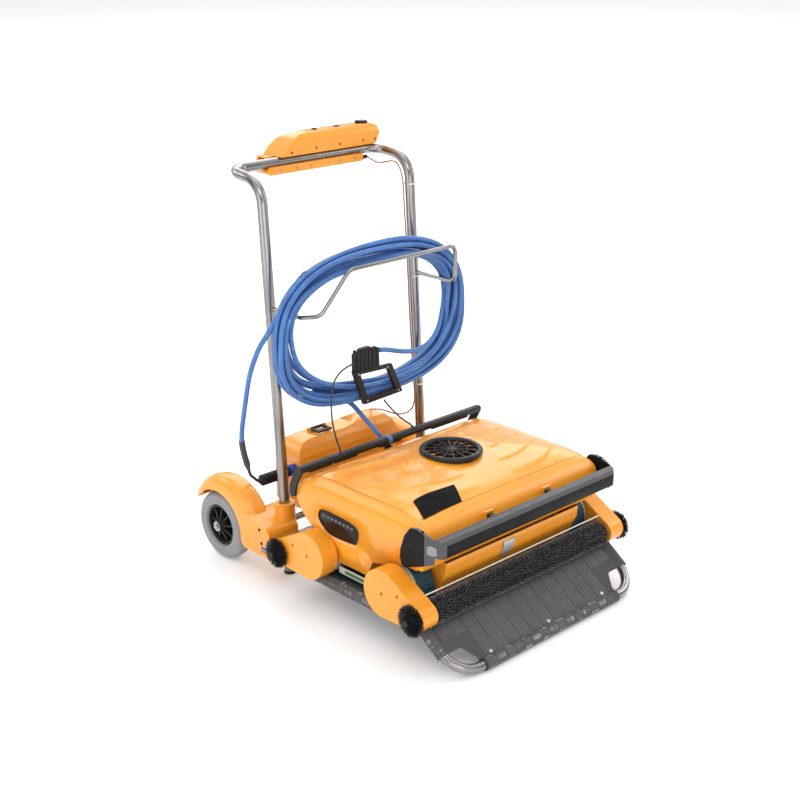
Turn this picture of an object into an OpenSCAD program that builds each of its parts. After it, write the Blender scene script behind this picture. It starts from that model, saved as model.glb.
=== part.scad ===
// Commercial pool cleaner: a tracked robot parked on its two-wheeled stainless caddy.
// X runs across the caddy, -Y is the front where the ramp meets the ground, Z is up.
// The origin is on the ground below the middle of the caddy.

/* [Caddy] */
// Distance between the centres of the two uprights
upright_gap = 548; // [500:2:560]
// Outer diameter of the upright tube
upright_d = 30; // [24:1:30]
// Height of the handlebar's centre above the ground
bar_h = 1143; // [1100:1:1200]
// Distance of the handlebar behind the origin
bar_y = 438; // [420:1:460]
// Outer diameter of the platform tube
rail_d = 27; // [22:1:27]
// Height of the side rails' centre above the ground
rail_h = 104; // [104:1:110]
// Thickness of the rubber mat
mat_t = 2; // [1.5:0.1:2.5]
// Outer diameter of a caddy wheel
wheel_d = 208; // [200:1:208]
// Width of a caddy wheel
wheel_w = 60; // [50:1:60]
// Diameter of the cable hook's rod
hook_d = 12; // [10:0.5:13]

/* [Robot] */
// Half the width of the robot's upper shell
hull_x = 345; // [340:1:345]
// Height of the middle of the shell's crown
hull_top = 415; // [405:1:415]
// Wall thickness of the shells
wall = 4; // [3:0.5:5]
// Distance from the robot's middle to each track pulley axis
pulley_reach = 147; // [140:1:150]
// Outer radius of the track belt
belt_r = 66; // [62:1:66]
// Distance from the robot's middle to each brush axis
brush_reach = 265.5; // [262:0.5:268]
// Radius of the bristle rollers
roller_r = 37.5; // [34:0.5:37.5]
// Radius of the star brushes
star_r = 45; // [40:1:46]

/* [Cables] */
// Diameter of the blue floating cable
cable_d = 14; // [12:1:15]
// Diameter of the black supply lead
lead_d = 9; // [7:1:10]
// Diameter of the tether cords
tether_d = 5; // [4:0.5:6]

/* [Hidden] */
$fn = 48;

eps = 0.3;                       // gap between neighbours that don't run on each other
fit = 0.06;                      // radial clearance of a running fit
orange = "orange";
upright_x = upright_gap / 2;
foot_y = 225;                    // where the uprights stand
lean = 0.0662;                   // rearward lean of the uprights per unit of height
elbow_h = 1128;
fold_y = -415;                   // where the platform folds down into the ramp
ramp_y = -536;
wrap_in = rail_d / 2 + 1.3;      // inside radius of the mat's wrap
wrap_out = wrap_in + mat_t;
ramp_h = wrap_out;
rail_x = 359;
tray_h = 109.5;                  // top of the flat mat
ramp_angle = atan((rail_h - ramp_h) / (fold_y - ramp_y));
ramp_len = norm([rail_h - ramp_h, fold_y - ramp_y]);
base_front = 196;
axle_y = 440;
axle_h = wheel_d / 2;
axle_r = 10;
wheel_x = 333;
fender_c = [414, 108];
fender_r = 158;
fender_crown = 36;               // how far the middle stands above the mudguard's shoulders
fender_x0 = 294;
fender_x1 = 368;
mid_y = -153.5;                  // middle of the robot
pulley_h = tray_h + 0.5 + belt_r;
brush_h = 148;
arm_x0 = hull_x + 1.3;
arm_step = 378;                  // the arms reach below the rail only outside this
arm_x1 = 401;
pin_r = 8;
grille_r = 88;
socket_at = [-163, 360, 243];

function leaned(x, z) = [x, foot_y + lean * z, z];
function unit(v) = v / norm(v);
function mirrored(p) = [for (i = [len(p) - 1:-1:0]) [-p[i].x, p[i].y]];
function ring_point(c, r, a) = [c.x + r * cos(a), c.y + r * sin(a)];

// Straight rod between two points.
module rod(a, b, r) {
    w = unit(b - a);
    s = abs(w.z) > 0.9 ? [1, 0, 0] : [0, 0, 1];
    u = unit(cross(s, w));
    v = cross(w, u);
    multmatrix([[u.x, v.x, w.x, a.x], [u.y, v.y, w.y, a.y], [u.z, v.z, w.z, a.z], [0, 0, 0, 1]])
        cylinder(h = norm(b - a), r = r);
}

// One bend of radius bend_r at corner p, from direction u to direction v.
module bend(p, u, v, bend_r, r) {
    turn = acos(u * v);
    start = p - bend_r * tan(turn / 2) * u;
    w = unit(v - (u * v) * u);
    c = start + bend_r * w;
    n = cross(u, w);
    multmatrix([[-w.x, u.x, n.x, c.x], [-w.y, u.y, n.y, c.y], [-w.z, u.z, n.z, c.z], [0, 0, 0, 1]])
        rotate_extrude(angle = turn) translate([bend_r, 0]) circle(r);
}

// Round bar bent along a polyline, with a bend radius for each inner corner and a low weld bead where a
// straight length meets its bend.
module bent_bar(pts, bends, r) {
    last = len(pts) - 1;
    bead_h = 0.25;
    bead_w = 1.2;
    inset = bead_w / 2;
    trim = [for (i = [0:last]) (i == 0 || i == last) ? 0 :
        bends[i - 1] * tan(acos(unit(pts[i] - pts[i - 1]) * unit(pts[i + 1] - pts[i])) / 2)];
    for (i = [0:last - 1]) {
        w = unit(pts[i + 1] - pts[i]);
        a = pts[i] + trim[i] * w;
        b = pts[i + 1] - trim[i + 1] * w;
        rod(a + (i == 0 ? 0 : inset) * w, b - (i == last - 1 ? 0 : inset) * w, r);
        if (i > 0) rod(a - bead_w * w, a + bead_w * w, r + bead_h);
        if (i < last - 1) rod(b - bead_w * w, b + bead_w * w, r + bead_h);
    }
    for (i = [1:last - 1])
        bend(pts[i], unit(pts[i] - pts[i - 1]), unit(pts[i + 1] - pts[i]), bends[i - 1], r);
}

// Closed tube swept along a route of points, as one polyhedron with flat ends.
function route_dir(p, i) = unit(p[min(i + 1, len(p) - 1)] - p[max(i - 1, 0)]);
module swept_tube(p, r, sides) {
    side_ref = [0.31, 0.87, 0.38];
    points = [for (i = [0:len(p) - 1]) let (w = route_dir(p, i), u = unit(cross(side_ref, w)), v = cross(w, u))
        for (k = [0:sides - 1]) p[i] + r * (cos(360 * k / sides) * u + sin(360 * k / sides) * v)];
    walls = [for (i = [0:len(p) - 2]) for (k = [0:sides - 1]) let (n = (k + 1) % sides)
        each [[i * sides + k, (i + 1) * sides + k, (i + 1) * sides + n],
              [i * sides + k, (i + 1) * sides + n, i * sides + n]]];
    start_cap = [[for (k = [0:sides - 1]) k]];
    end_cap = [[for (k = [sides - 1:-1:0]) (len(p) - 1) * sides + k]];
    polyhedron(points, concat(walls, start_cap, end_cap), convexity = 8);
}

// Extrudes a (Y, Z) outline along X from x0 to x1.
module along_x(x0, x1) translate([x0, 0, 0]) rotate([90, 0, 90]) linear_extrude(x1 - x0) children();
// Extrudes an (X, Z) outline along Y from y0 to y1.
module along_y(y0, y1) translate([0, y1, 0]) rotate([90, 0, 0]) linear_extrude(y1 - y0) children();
// Cylinder along X.
module x_rod(x0, x1, y, z, r) translate([x0, y, z]) rotate([0, 90, 0]) cylinder(h = x1 - x0, r = r);
module both_sides() { children(); mirror([1, 0, 0]) children(); }

// ---------------------------------------------------------------- caddy frame

module handle_frame() color("silver") {
    left = [leaned(-upright_x, 8), leaned(-upright_x, elbow_h), [-upright_x, bar_y, bar_h]];
    right = [[upright_x, bar_y, bar_h], leaned(upright_x, elbow_h), leaned(upright_x, 8)];
    bent_bar(concat(left, right), [70, 50, 50, 70], upright_d / 2);
}

module cable_hook() color("silver") {
    front = 105;
    arm_h = 790;
    top_h = 900;
    weld_y = foot_y + lean * arm_h - upright_d / 2 - 0.5;
    bent_bar([[upright_x, weld_y, arm_h], [upright_x, front, arm_h], [upright_x, front, top_h],
        [-134, front, top_h], [-240, front, 790], [-upright_x, front + 45, 785],
        [-upright_x, weld_y, 785]], [24, 24, 40, 34, 20], hook_d / 2);
}

module foot_caps() color("dimgray") both_sides()
    translate(leaned(upright_x, 0)) cylinder(h = 6.6, r = 17);

module platform_frame() color("silver") {
    side_y = base_front + 34;
    bent_bar([[-rail_x, side_y, rail_h], [-rail_x, fold_y, rail_h], [-rail_x, ramp_y, ramp_h],
        [rail_x, ramp_y, ramp_h], [rail_x, fold_y, rail_h], [rail_x, side_y, rail_h]],
        [15, 78, 78, 15], rail_d / 2);
    for (y = [-330, -120, 90])
        x_rod(-rail_x + 8, rail_x - 8, y, rail_h - 7, 8);
}

// Half of the mat's cross-section, flat in the middle and wrapped round the side rail.
function mat_half() = concat([[0, tray_h], [rail_x - 18, tray_h]],
    [for (a = [110:-17:-60]) ring_point([rail_x, rail_h], wrap_out, a)],
    [for (a = [-60:17:110]) ring_point([rail_x, rail_h], wrap_in, a)],
    [[rail_x - 17, tray_h - mat_t], [0, tray_h - mat_t]]);

// Outline of the ramp sheet seen square on, from the fold (0) down to the front bar.
module ramp_outline() difference() {
    translate([-rail_x - 20, -ramp_len]) square([2 * rail_x + 40, ramp_len]);
    both_sides() hull() {
        translate([305, -98]) circle(14);
        translate([285, -128]) circle(12);
        translate([420, -98]) circle(14);
        translate([420, -190]) circle(12);
        translate([285, -190]) circle(12);
    }
}

module platform_mat() color("dimgray") {
    profile = concat(mat_half(), mirrored(mat_half()));
    along_y(fold_y + 8, 150) polygon(profile);
    translate([0, fold_y, rail_h]) rotate([ramp_angle, 0, 0]) {
        difference() {
            intersection() {
                translate([0, 0, -rail_h]) along_y(-ramp_len, -6) polygon(profile);
                translate([0, 0, -40]) linear_extrude(80) ramp_outline();
            }
            // the sheet ends on its wrap round the front bar
            translate([0, -ramp_len, 0]) x_rod(-400, 400, 0, 0, wrap_in);
        }
        translate([0, -ramp_len, 0]) rotate([0, 90, 0]) difference() {
            translate([0, 0, -268]) cylinder(h = 536, r = wrap_out);
            translate([0, 0, -270]) cylinder(h = 540, r = wrap_in);
        }
    }
    // hinge strip of rubber over the fold
    hull() {
        translate([-335, fold_y + 8, tray_h - mat_t]) cube([670, 2, mat_t]);
        translate([0, fold_y, rail_h]) rotate([ramp_angle, 0, 0])
            translate([-335, -9, tray_h - rail_h - mat_t]) cube([670, 2, mat_t]);
    }
}

// ---------------------------------------------------------------- base, wheels

// Crowned ring about the mudguard's centre, set in by g on every side.
module crowned_ring(g) {
    half = (fender_x1 - fender_x0) / 2 - g;
    shoulder = fender_r - g - fender_crown;
    translate([(fender_x0 + fender_x1) / 2, fender_c.x, fender_c.y]) rotate([0, 90, 0]) rotate_extrude($fn = 96)
        polygon([[20, -half], for (t = [-90:12.857:90.1])
            [shoulder + fender_crown * pow(abs(cos(t)), 0.8), half * sign(sin(t)) * pow(abs(sin(t)), 0.8)],
            [20, half]]);
}

// Mudguard: a channel swept round the wheel, open towards it.
module mudguard() difference() {
    intersection() {
        crowned_ring(0);
        along_x(fender_x0, fender_x1) difference() {
            polygon([[100, 96], [axle_y, 96], [axle_y, axle_h], [640, 250], [640, 400], [100, 400]]);
            translate([axle_y, axle_h]) circle(wheel_d / 2 + 8);
        }
    }
    intersection() {
        crowned_ring(wall);
        along_x(fender_x0 + wall, fender_x1 - wall)
            polygon([[318, 112], [axle_y, 112], [620, 258], [620, 400], [318, 400]]);
    }
}

module base() difference() {
    union() {
        // inner arm that carries the axle
        along_x(262, fender_x0) hull() {
            translate([axle_y, axle_h]) circle(26);
            translate([base_front + 20, 98]) circle(20);
            translate([base_front + 22, 150]) circle(22);
        }
        // outer block that holds the side rail
        along_x(262, fender_x1) hull() {
            translate([base_front + 20, 100]) circle(20);
            translate([base_front + 26, 148]) circle(26);
            translate([306, 100]) circle(20);
            translate([300, 168]) circle(24);
        }
        // socket column round the upright
        rod(leaned(upright_x, 82), leaned(upright_x, 212), 29);
        mudguard();
    }
    rod(leaned(upright_x, 40), leaned(upright_x, 240), upright_d / 2 + eps);
    translate([rail_x, base_front + 36, rail_h]) rotate([90, 0, 0]) cylinder(h = 60, r = rail_d / 2 + eps);
    x_rod(250, 300, axle_y, axle_h, axle_r + eps);
    x_rod(250, 300, 330, axle_h, 10 + eps);
}
module right_base() color(orange) base();
module left_base() color(orange) mirror([1, 0, 0]) base();

module wheel_axle() color("silver") x_rod(-367, 367, axle_y, axle_h, axle_r);
module cross_tube() color("silver") x_rod(-290, 290, 330, axle_h, 10);

module tyre() rotate([0, 90, 0]) rotate_extrude($fn = 96) {
    r = wheel_d / 2;
    h = wheel_w / 2;
    polygon([[62, -h + 8], [68, -h + 1], [84, -h], [r - 12, -h + 3], [r - 3, -h + 14], [r, -h + 24],
        [r, h - 24], [r - 3, h - 14], [r - 12, h - 3], [84, h], [68, h - 1], [62, h - 8]]);
}
module right_tyre() color("gray") translate([wheel_x, axle_y, axle_h]) tyre();
module left_tyre() color("gray") translate([-wheel_x, axle_y, axle_h]) tyre();

module rim() rotate([0, 90, 0]) difference() {
    rotate_extrude($fn = 96) {
        bore = axle_r + fit;
        polygon([[bore, -32], [20, -32], [22, -6], [54, -6], [54, -21], [61.7, -21],
            [61.7, 21], [54, 21], [54, 6], [22, 6], [20, 31], [bore, 31]]);
    }
    for (k = [0:7]) rotate(k * 45) translate([38, 0, -20]) cylinder(h = 40, r = 9.5);
}
module right_rim() color("#202020") translate([wheel_x, axle_y, axle_h]) rim();
module left_rim() color("#202020") translate([-wheel_x, axle_y, axle_h]) mirror([1, 0, 0]) rim();

// Axle nuts, mat studs and the control box's screws.
module caddy_fasteners() color("silver") {
    both_sides() {
        x_rod(367.3, 371, axle_y, axle_h, 15);
        x_rod(371, 376, axle_y, axle_h, 9, $fn = 6);
        for (y = [-380, -250, -110, 30])
            translate([rail_x, y, rail_h + wrap_out + 0.2]) cylinder(h = 1.4, r = 5);
    }
    for (x = [-110, -50, 0, 110, 170])
        translate([x, 415.8, 1124]) rotate([90, 0, 0]) cylinder(h = 1.6, r = 3.4);
    translate([0, fold_y, rail_h]) rotate([ramp_angle, 0, 0])
        for (x = [-225, 0, 225])
            translate([x, -128, tray_h - rail_h + 0.2]) cylinder(h = 1.4, r = 5);
}

// ---------------------------------------------------------------- power supply

supply_y0 = 336;
supply_y1 = 452;
supply_x0 = -135;
supply_x1 = 256;

module supply_tray() color(orange) difference() {
    along_x(supply_x0, supply_x1) polygon([[supply_y0 + 8, 119], [supply_y1 - 8, 119], [supply_y1, 127],
        [supply_y1, 170], [supply_y0, 170], [supply_y0, 127]]);
    along_x(supply_x0 + wall, supply_x1 - wall) polygon([[supply_y0 + wall, 124], [supply_y1 - wall, 124],
        [supply_y1 - wall, 180], [supply_y0 + wall, 180]]);
}

function supply_long(g) = [[supply_x0 + g, 170.3], [supply_x0 + g, 286], [supply_x0 + 8 + g, 304],
    [supply_x0 + 28 + g, 318 - g], [supply_x0 + 60, 324 - g], [60, 322 - g], [100, 326 - g], [140, 334 - g],
    [190, 336 - g], [230, 326 - g], [supply_x1 - 8 - g, 310], [supply_x1 - g, 290], [supply_x1 - g, 170.3]];
function supply_short(g) = [[supply_y0 + g, 170.3], [supply_y0 + g, 280], [supply_y0 + 8 + g, 304],
    [supply_y0 + 26 + g, 326 - g], [supply_y0 + 45, 336 - g], [supply_y1 - 45, 336 - g],
    [supply_y1 - 26 - g, 326 - g], [supply_y1 - 8 - g, 304], [supply_y1 - g, 280], [supply_y1 - g, 170.3]];

latch_at = [-8, 405, 331];
module supply_cover() color(orange) difference() {
    union() {
        difference() {
            intersection() {
                along_y(supply_y0, supply_y1) polygon(supply_long(0));
                along_x(supply_x0, supply_x1) polygon(supply_short(0));
            }
            intersection() {
                translate([0, 0, -0.5]) along_y(supply_y0, supply_y1) polygon(supply_long(wall));
                translate([0, 0, -0.5]) along_x(supply_x0, supply_x1) polygon(supply_short(wall));
            }
        }
        // ears that hold the latch's pin
        for (x = [-36, 26])
            along_x(latch_at.x + x, latch_at.x + x + 6) hull() {
                translate([latch_at.y, latch_at.z]) circle(6);
                translate([latch_at.y - 6, 319]) square([12, 1]);
            }
    }
    x_rod(latch_at.x - 40, latch_at.x + 36, latch_at.y, latch_at.z, 3 + fit);
}

module supply_latch() color("#202020") {
    x_rod(latch_at.x - 36, latch_at.x + 32, latch_at.y, latch_at.z, 3);
    x_rod(latch_at.x - 29, latch_at.x + 25, latch_at.y, latch_at.z, 5);
    for (x = [-29, 17]) translate([latch_at.x + x, latch_at.y - 34, latch_at.z - 3]) cube([8, 32, 6]);
    translate([latch_at.x - 29, latch_at.y - 40, latch_at.z - 3]) cube([54, 9, 6]);
}

module power_socket() color("royalblue") {
    x_rod(socket_at.x, supply_x0 - 0.2, socket_at.y, socket_at.z, 17);
}

module supply_transformer() color("peru") {
    translate([-60, 350, 124.3]) cube([130, 88, 95]);
    translate([100, 350, 124.3]) cube([120, 88, 30]);
}

// ---------------------------------------------------------------- control box

function box_long(g) = [[-106 + g, 1158.6], [-79 + g, 1188], [-62 + g, 1203 - g], [-38, 1214 - g],
    [0, 1218 - g], [240, 1218 - g], [256 - g, 1212 - g], [266 - g, 1190], [250 - g, 1158.6]];
function box_short(g) = [[414 + g, 1158.6], [414 + g, 1198], [418 + g, 1210 - g], [428, 1218 - g],
    [466, 1218 - g], [492 - g, 1200 - g], [500 - g, 1180], [500 - g, 1158.6]];
knob_at = [221, 447];
button_y = 447;
power_x = 40;
mode_x = 125;

module control_box_top() color(orange) difference() {
    intersection() {
        along_y(410, 505) polygon(concat([[-104, 1150]], box_long(0), [[248, 1150]]));
        along_x(-110, 270) polygon(box_short(0));
    }
    intersection() {
        along_y(410, 505) polygon(box_long(3));
        along_x(-110, 270) polygon(box_short(3));
        translate([-200, 380, 1162]) cube([600, 200, 100]);
    }
    x_rod(-120, 280, bar_y, bar_h, upright_d / 2 + eps);
    translate([196, 380, 1140]) cube([90, 60, 18.8]);
    translate([knob_at.x, knob_at.y, 1200]) cylinder(h = 40, r = 4 + fit);
    for (x = [power_x, mode_x]) translate([x, button_y, 1200]) cylinder(h = 40, r = 7 + fit);
}

module control_box_bottom() color(orange) difference() {
    intersection() {
        along_y(410, 505) polygon([[-157, 1120], [-146, 1112], [201, 1112], [201, 1158.2], [-128, 1158.2]]);
        along_x(-160, 205) polygon([[416, 1112], [470, 1112], [494, 1128], [500, 1158.2], [454, 1158.2],
            [454, 1136], [416, 1136]]);
    }
    along_x(-140, 190) polygon([[462, 1124], [484, 1134], [490, 1154], [462, 1154]]);
    x_rod(-170, 210, bar_y, bar_h, upright_d / 2 + eps);
}

module control_knob() color("#202020") translate([knob_at.x, knob_at.y, 0]) {
    translate([0, 0, 1208]) cylinder(h = 12, r = 4);
    translate([0, 0, 1218.4]) cylinder(h = 6, r = 19);
    translate([0, 0, 1224.4]) cylinder(h = 2, r = 16);
}

module push_button(x) translate([x, button_y, 1207]) cylinder(h = 15, r = 7);
module power_button() color("#303030") push_button(power_x);
module mode_button() color("#303030") push_button(mode_x);

gland_at = [201.2, 425, 1121];
module control_gland() color("#202020") {
    x_rod(gland_at.x, gland_at.x + 8, gland_at.y, gland_at.z, 8, $fn = 6);
    x_rod(gland_at.x + 8, gland_at.x + 20, gland_at.y, gland_at.z, 6);
}

// Thin control cable, held by ties down the inner side of the right upright.
control_route = [[221.4, 425, 1121], [229, 424, 1118], [237, 419, 1111], [241, 410, 1106], [246, 394, 1103],
    [252, 374, 1108], [256, 352, 1114], [257, 330, 1110], [255, 314, 1092], [254, 303, 1062],
    [254, 298, 1000], [254, 285, 850], [254, 275, 690], [254, 263, 540], [254, 252, 430],
    [253, 249, 395], [248, 253, 368], [240, 268, 350], [232, 288, 342], [224, 310, 340],
    [216, 332, 343], [208, 352, 346], [200, 372, 344], [196, 384, 341], [195, 390, 338.6]];
module control_cable() color("saddlebrown") swept_tube(control_route, 2.5, 8);

module cable_ties() color("white") for (z = [1050, 775, 440])
    translate(leaned(upright_x, z)) rotate([-atan(lean), 0, 0]) difference() {
        cylinder(h = 4, r = upright_d / 2 + 2);
        translate([0, 0, -1]) cylinder(h = 6, r = upright_d / 2 + eps);
        translate([-40, -30, -1]) cube([27, 60, 6]);
    }

// ---------------------------------------------------------------- robot shells

// Outline of the upper shell seen from the side, in by g on every wall.
function hull_side(g) = [[-186, 166], [-207, 211], [-333, 248], [-386 + g, 248], [-393 + g, 262],
    [-399 + g, 290], [-400 + g, 318], [-393 + g, 344], [-374 + g / 2, 366 - g], [-320, 388 - g],
    [-240, 406 - g], [mid_y, hull_top - g], [-60, 408 - g], [10, 391 - g], [58, 371 - g],
    [84 - g, 354 - g / 2], [99 - g, 332], [105 - g, 308], [103 - g, 290], [78 - g, 256],
    [43 - g, 231], [-36, 206], [-81, 166]];
// Half of the shell's cross-section, crowned in the middle and rounded at the side.
function hull_front(g) = [[0, hull_top + 1 - g], [120, hull_top - 3 - g], [220, hull_top - 13 - g],
    [290, hull_top - 26 - g], [322, hull_top - 38 - g], [339 - g, hull_top - 58 - g],
    [hull_x - g, hull_top - 86], [hull_x - g, 100]];
function whole(half) = concat(half, mirrored(half));
hull_inside = concat([for (i = [3:20]) hull_side(wall)[i]], [[43 - wall, 100], [-386 + wall, 100]]);

window_outline = [[0, 293], [6, 282], [6, 270], [-4, 256], [-31, 238], [-60, 234], [-138, 238], [-148, 246],
    [-155, 276], [-148, 288], [-128, 296], [-46, 300], [-12, 299]];

module hull_cover() color(orange) difference() {
    intersection() {
        along_x(-hull_x, hull_x) polygon(hull_side(0));
        along_y(-420, 120) polygon(whole(hull_front(0)));
    }
    intersection() {
        along_x(-hull_x + wall, hull_x - wall) polygon(hull_inside);
        along_y(-420, 120) polygon(whole(hull_front(wall)));
    }
    // the tub stands inside the skirt
    translate([-263, mid_y - 245, 100]) cube([526, 490, 147.6]);
    translate([0, mid_y, 300]) cylinder(h = 200, r = 82);
    along_x(-hull_x - 1, hull_x + 1) polygon(window_outline);
}

module side_windows() color("#302018") both_sides()
    along_x(hull_x - 4.5, hull_x - 1) offset(delta = -eps) polygon(window_outline);

// Lower tub between the tracks, the same at the front and the rear.
function tub_side(g) = concat(
    [[-190 + g, 120 + g], [-206 + g, 130], [-213 + g, 160], [-227 + g, 190], [-240 + g, 215], [-243 + g, 247]],
    [[243 - g, 247], [240 - g, 215], [227 - g, 190], [213 - g, 160], [206 - g, 130], [190 - g, 120 + g]]);
module hull_base() color(orange) difference() {
    translate([0, mid_y, 0]) along_x(-262, 262) polygon(tub_side(0));
    translate([0, mid_y, 1]) along_x(-262 + wall, 262 - wall) polygon(tub_side(wall));
    for (x = [-120, 120]) translate([x - 60, mid_y - 20, 110]) cube([120, 40, 20]);
}

module bottom_plate() color("#303030") difference() {
    translate([-250, mid_y - 180, 113.5]) cube([500, 360, 6.2]);
    for (x = [-120, 120]) translate([x - 60, mid_y - 20, 110]) cube([120, 40, 20]);
}

module outlet_grille() color("#202020") translate([0, mid_y, 0]) {
    difference() {
        union() {
            translate([0, 0, 404]) cylinder(h = 14, r = 81.5);
            translate([0, 0, hull_top + 1.2]) cylinder(h = 8, r = grille_r);
        }
        translate([0, 0, 400]) cylinder(h = 40, r = 72);
    }
    for (a = [0, 60, 120]) rotate(a) translate([-73, -4, 412]) cube([146, 8, 10]);
    translate([0, 0, 409]) cylinder(h = 14, r = 20);
}

module impeller() color("black") translate([0, mid_y, 0]) difference() {
    union() {
        translate([0, 0, 352]) cylinder(h = 30, r = 14);
        for (a = [0:60:300]) rotate(a) translate([10, -2, 354]) rotate([18, 0, 0]) cube([52, 4, 24]);
    }
    translate([0, 0, 345]) cylinder(h = 45, r = 5 + fit);
}

module pump_motor() color("gray") translate([0, mid_y, 0]) {
    translate([0, 0, 128]) cylinder(h = 200, r = 42);
    translate([0, 0, 328]) cylinder(h = 50, r = 5);
}

module drive_motors() color("gray") both_sides()
    x_rod(130, 252, mid_y + pulley_reach, 178, 32);

module filter_cartridge() color("beige") both_sides()
    translate([20, -348, 132]) cube([215, 130, 148]);

// ---------------------------------------------------------------- robot handles

bar_front = -463;
module front_handle() color("#404040") intersection() {
    union() {
        along_x(-356, 356) polygon([[bar_front, 314], [bar_front, 343], [-456, 352], [-437, 356],
            [-432, 350], [-432, 314], [-437, 307], [-458, 306]]);
        both_sides() along_x(arm_x0, 356) polygon([[bar_front, 312], [bar_front, 343], [-456, 352], [-437, 356],
            [-382, 370], [-358, 365], [-338, 338], [-324, 296], [-322, 276], [-328, 256], [-340, 250],
            [-436, 288], [-458, 306]]);
    }
    linear_extrude(500) polygon([[-329, bar_front], [329, bar_front], [342, -450], [356, -410], [356, -300],
        [-356, -300], [-356, -410], [-342, -450]]);
}

module front_struts() color("#202020") both_sides()
    translate([105, -431.8, 328]) cube([17, 30, 17]);

module rear_handle() color("#202020") {
    along_x(-348, 348)
        polygon([[66, 380], [84, 380], [88, 386], [88, 392], [83, 397], [69, 397], [64, 391], [64, 385]]);
    both_sides() along_x(arm_x0, 354)
        polygon([[66, 380], [64, 391], [69, 397], [83, 397], [88, 392], [116, 336], [117, 310], [108, 300],
            [96, 306], [88, 340]]);
    for (x = [-322, -230, -60]) translate([x, 68, 374]) cube([84, 16, 8]);
    translate([150, 68, 374]) cube([150, 16, 8]);
}

module brush_guards() color("white") {
    x_rod(-arm_x0 + 0.3, arm_x0 - 0.3, mid_y - 250, 191, 2);
    x_rod(-arm_x0 + 0.3, arm_x0 - 0.3, mid_y + 250, 191, 2);
}

gland_dir = unit([-0.44, 0.32, 0.84]);
gland_foot = [2, 100, 349];
boss_out = unit([0, 22, 15]);
boss_at = [2, 91.5, 343];
gland_tip = gland_foot + 32 * gland_dir;
module robot_gland() color("#202020") {
    rod(boss_at + eps * boss_out, boss_at + 9 * boss_out, 12);
    rod(gland_foot, gland_foot + 18 * gland_dir, 11);
    rod(gland_foot + 18 * gland_dir, gland_tip, 9);
}

// ---------------------------------------------------------------- drive

// Arm over one corner: it holds the pulley's pin and the brush's bearing. side is 1 or -1, end is 1 or -1.
module arm(side, end) color(orange) difference() {
    py = mid_y + end * pulley_reach;
    by = mid_y + end * brush_reach;
    mirror([side < 0 ? 1 : 0, 0, 0]) difference() {
        union() {
            along_x(arm_step, arm_x1) hull() {
                translate([py, pulley_h]) circle(belt_r);
                translate([by, brush_h]) circle(34);
            }
            along_x(arm_x0, arm_step) difference() {
                hull() {
                    translate([py, pulley_h]) circle(belt_r);
                    translate([by, brush_h]) circle(34);
                }
                translate([-600, 0]) square([1000, 123]);
            }
            x_rod(262.6, arm_x0, py, pulley_h, pin_r);
        }
        x_rod(arm_x0 - 5, arm_x1 + 5, by, brush_h, pin_r + fit);
    }
}
module front_left_arm() arm(-1, -1);
module front_right_arm() arm(1, -1);
module rear_left_arm() arm(-1, 1);
module rear_right_arm() arm(1, 1);

module belt_outline(r) {
    for (end = [-1, 1]) translate([mid_y + end * pulley_reach, pulley_h]) circle(r, $fn = 96);
    translate([mid_y - pulley_reach, pulley_h - r]) square([2 * pulley_reach, 2 * r]);
}
module track() along_x(273, 333) difference() {
    belt_outline(belt_r);
    belt_outline(belt_r - 2.2);
}
module right_track() color("darkslategray") track();
module left_track() color("darkslategray") mirror([1, 0, 0]) track();

module pulley(side, end) color("lightgray") mirror([side < 0 ? 1 : 0, 0, 0]) difference() {
    y = mid_y + end * pulley_reach;
    r = belt_r - 2.5;
    x_rod(274, 340, y, pulley_h, r);
    x_rod(270, 345, y, pulley_h, pin_r + fit);
    for (k = [0:5]) x_rod(270, 345, y + 38 * cos(60 * k), pulley_h + 38 * sin(60 * k), 11);
}
module front_left_pulley() pulley(-1, -1);
module front_right_pulley() pulley(1, -1);
module rear_left_pulley() pulley(-1, 1);
module rear_right_pulley() pulley(1, 1);

module brush_shaft(end, half_w) color("gray") {
    y = mid_y + end * brush_reach;
    x_rod(-430, 430, y, brush_h, pin_r);
    x_rod(-half_w - 1, half_w + 1, y, brush_h, 19.7);
}
module bristles(end, half_w) color("#101018") {
    y = mid_y + end * brush_reach;
    difference() {
        x_rod(-half_w, half_w, y, brush_h, roller_r);
        x_rod(-half_w - 1, half_w + 1, y, brush_h, 20);
    }
    both_sides() difference() {
        translate([402.5, y, brush_h]) rotate([0, 90, 0]) rotate_extrude()
            polygon([[0, 0], [34, 0], [star_r - 3, 6], [star_r, 13], [star_r - 3, 21], [34, 27], [0, 27]]);
        x_rod(400, 432, y, brush_h, pin_r + eps);
    }
}
module front_brush_shaft() brush_shaft(-1, 341);
module front_bristles() bristles(-1, 341);
module rear_brush_shaft() brush_shaft(1, 333);
module rear_bristles() bristles(1, 333);

// ---------------------------------------------------------------- cables

// Oval coil of floating cable that hangs on the hook's arms, as one closed outer solid.
coil_c = [-12, 718];
coil_y0 = 124;
coil_y1 = 188;
coil_square = 2.6;               // 2 is an ellipse, more is squarer
function oval_scale(c, s) = pow(pow(abs(c), coil_square) + pow(abs(s), coil_square), -1 / coil_square);
function oval(a, b) = [for (k = [0:7.5:352.5]) coil_c + oval_scale(cos(k), sin(k)) * [a * cos(k), b * sin(k)]];
module float_cable_coil() color("steelblue") along_y(coil_y0, coil_y1) difference() {
    polygon(oval(353, 222));
    polygon(oval(308, 172));
}

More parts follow.
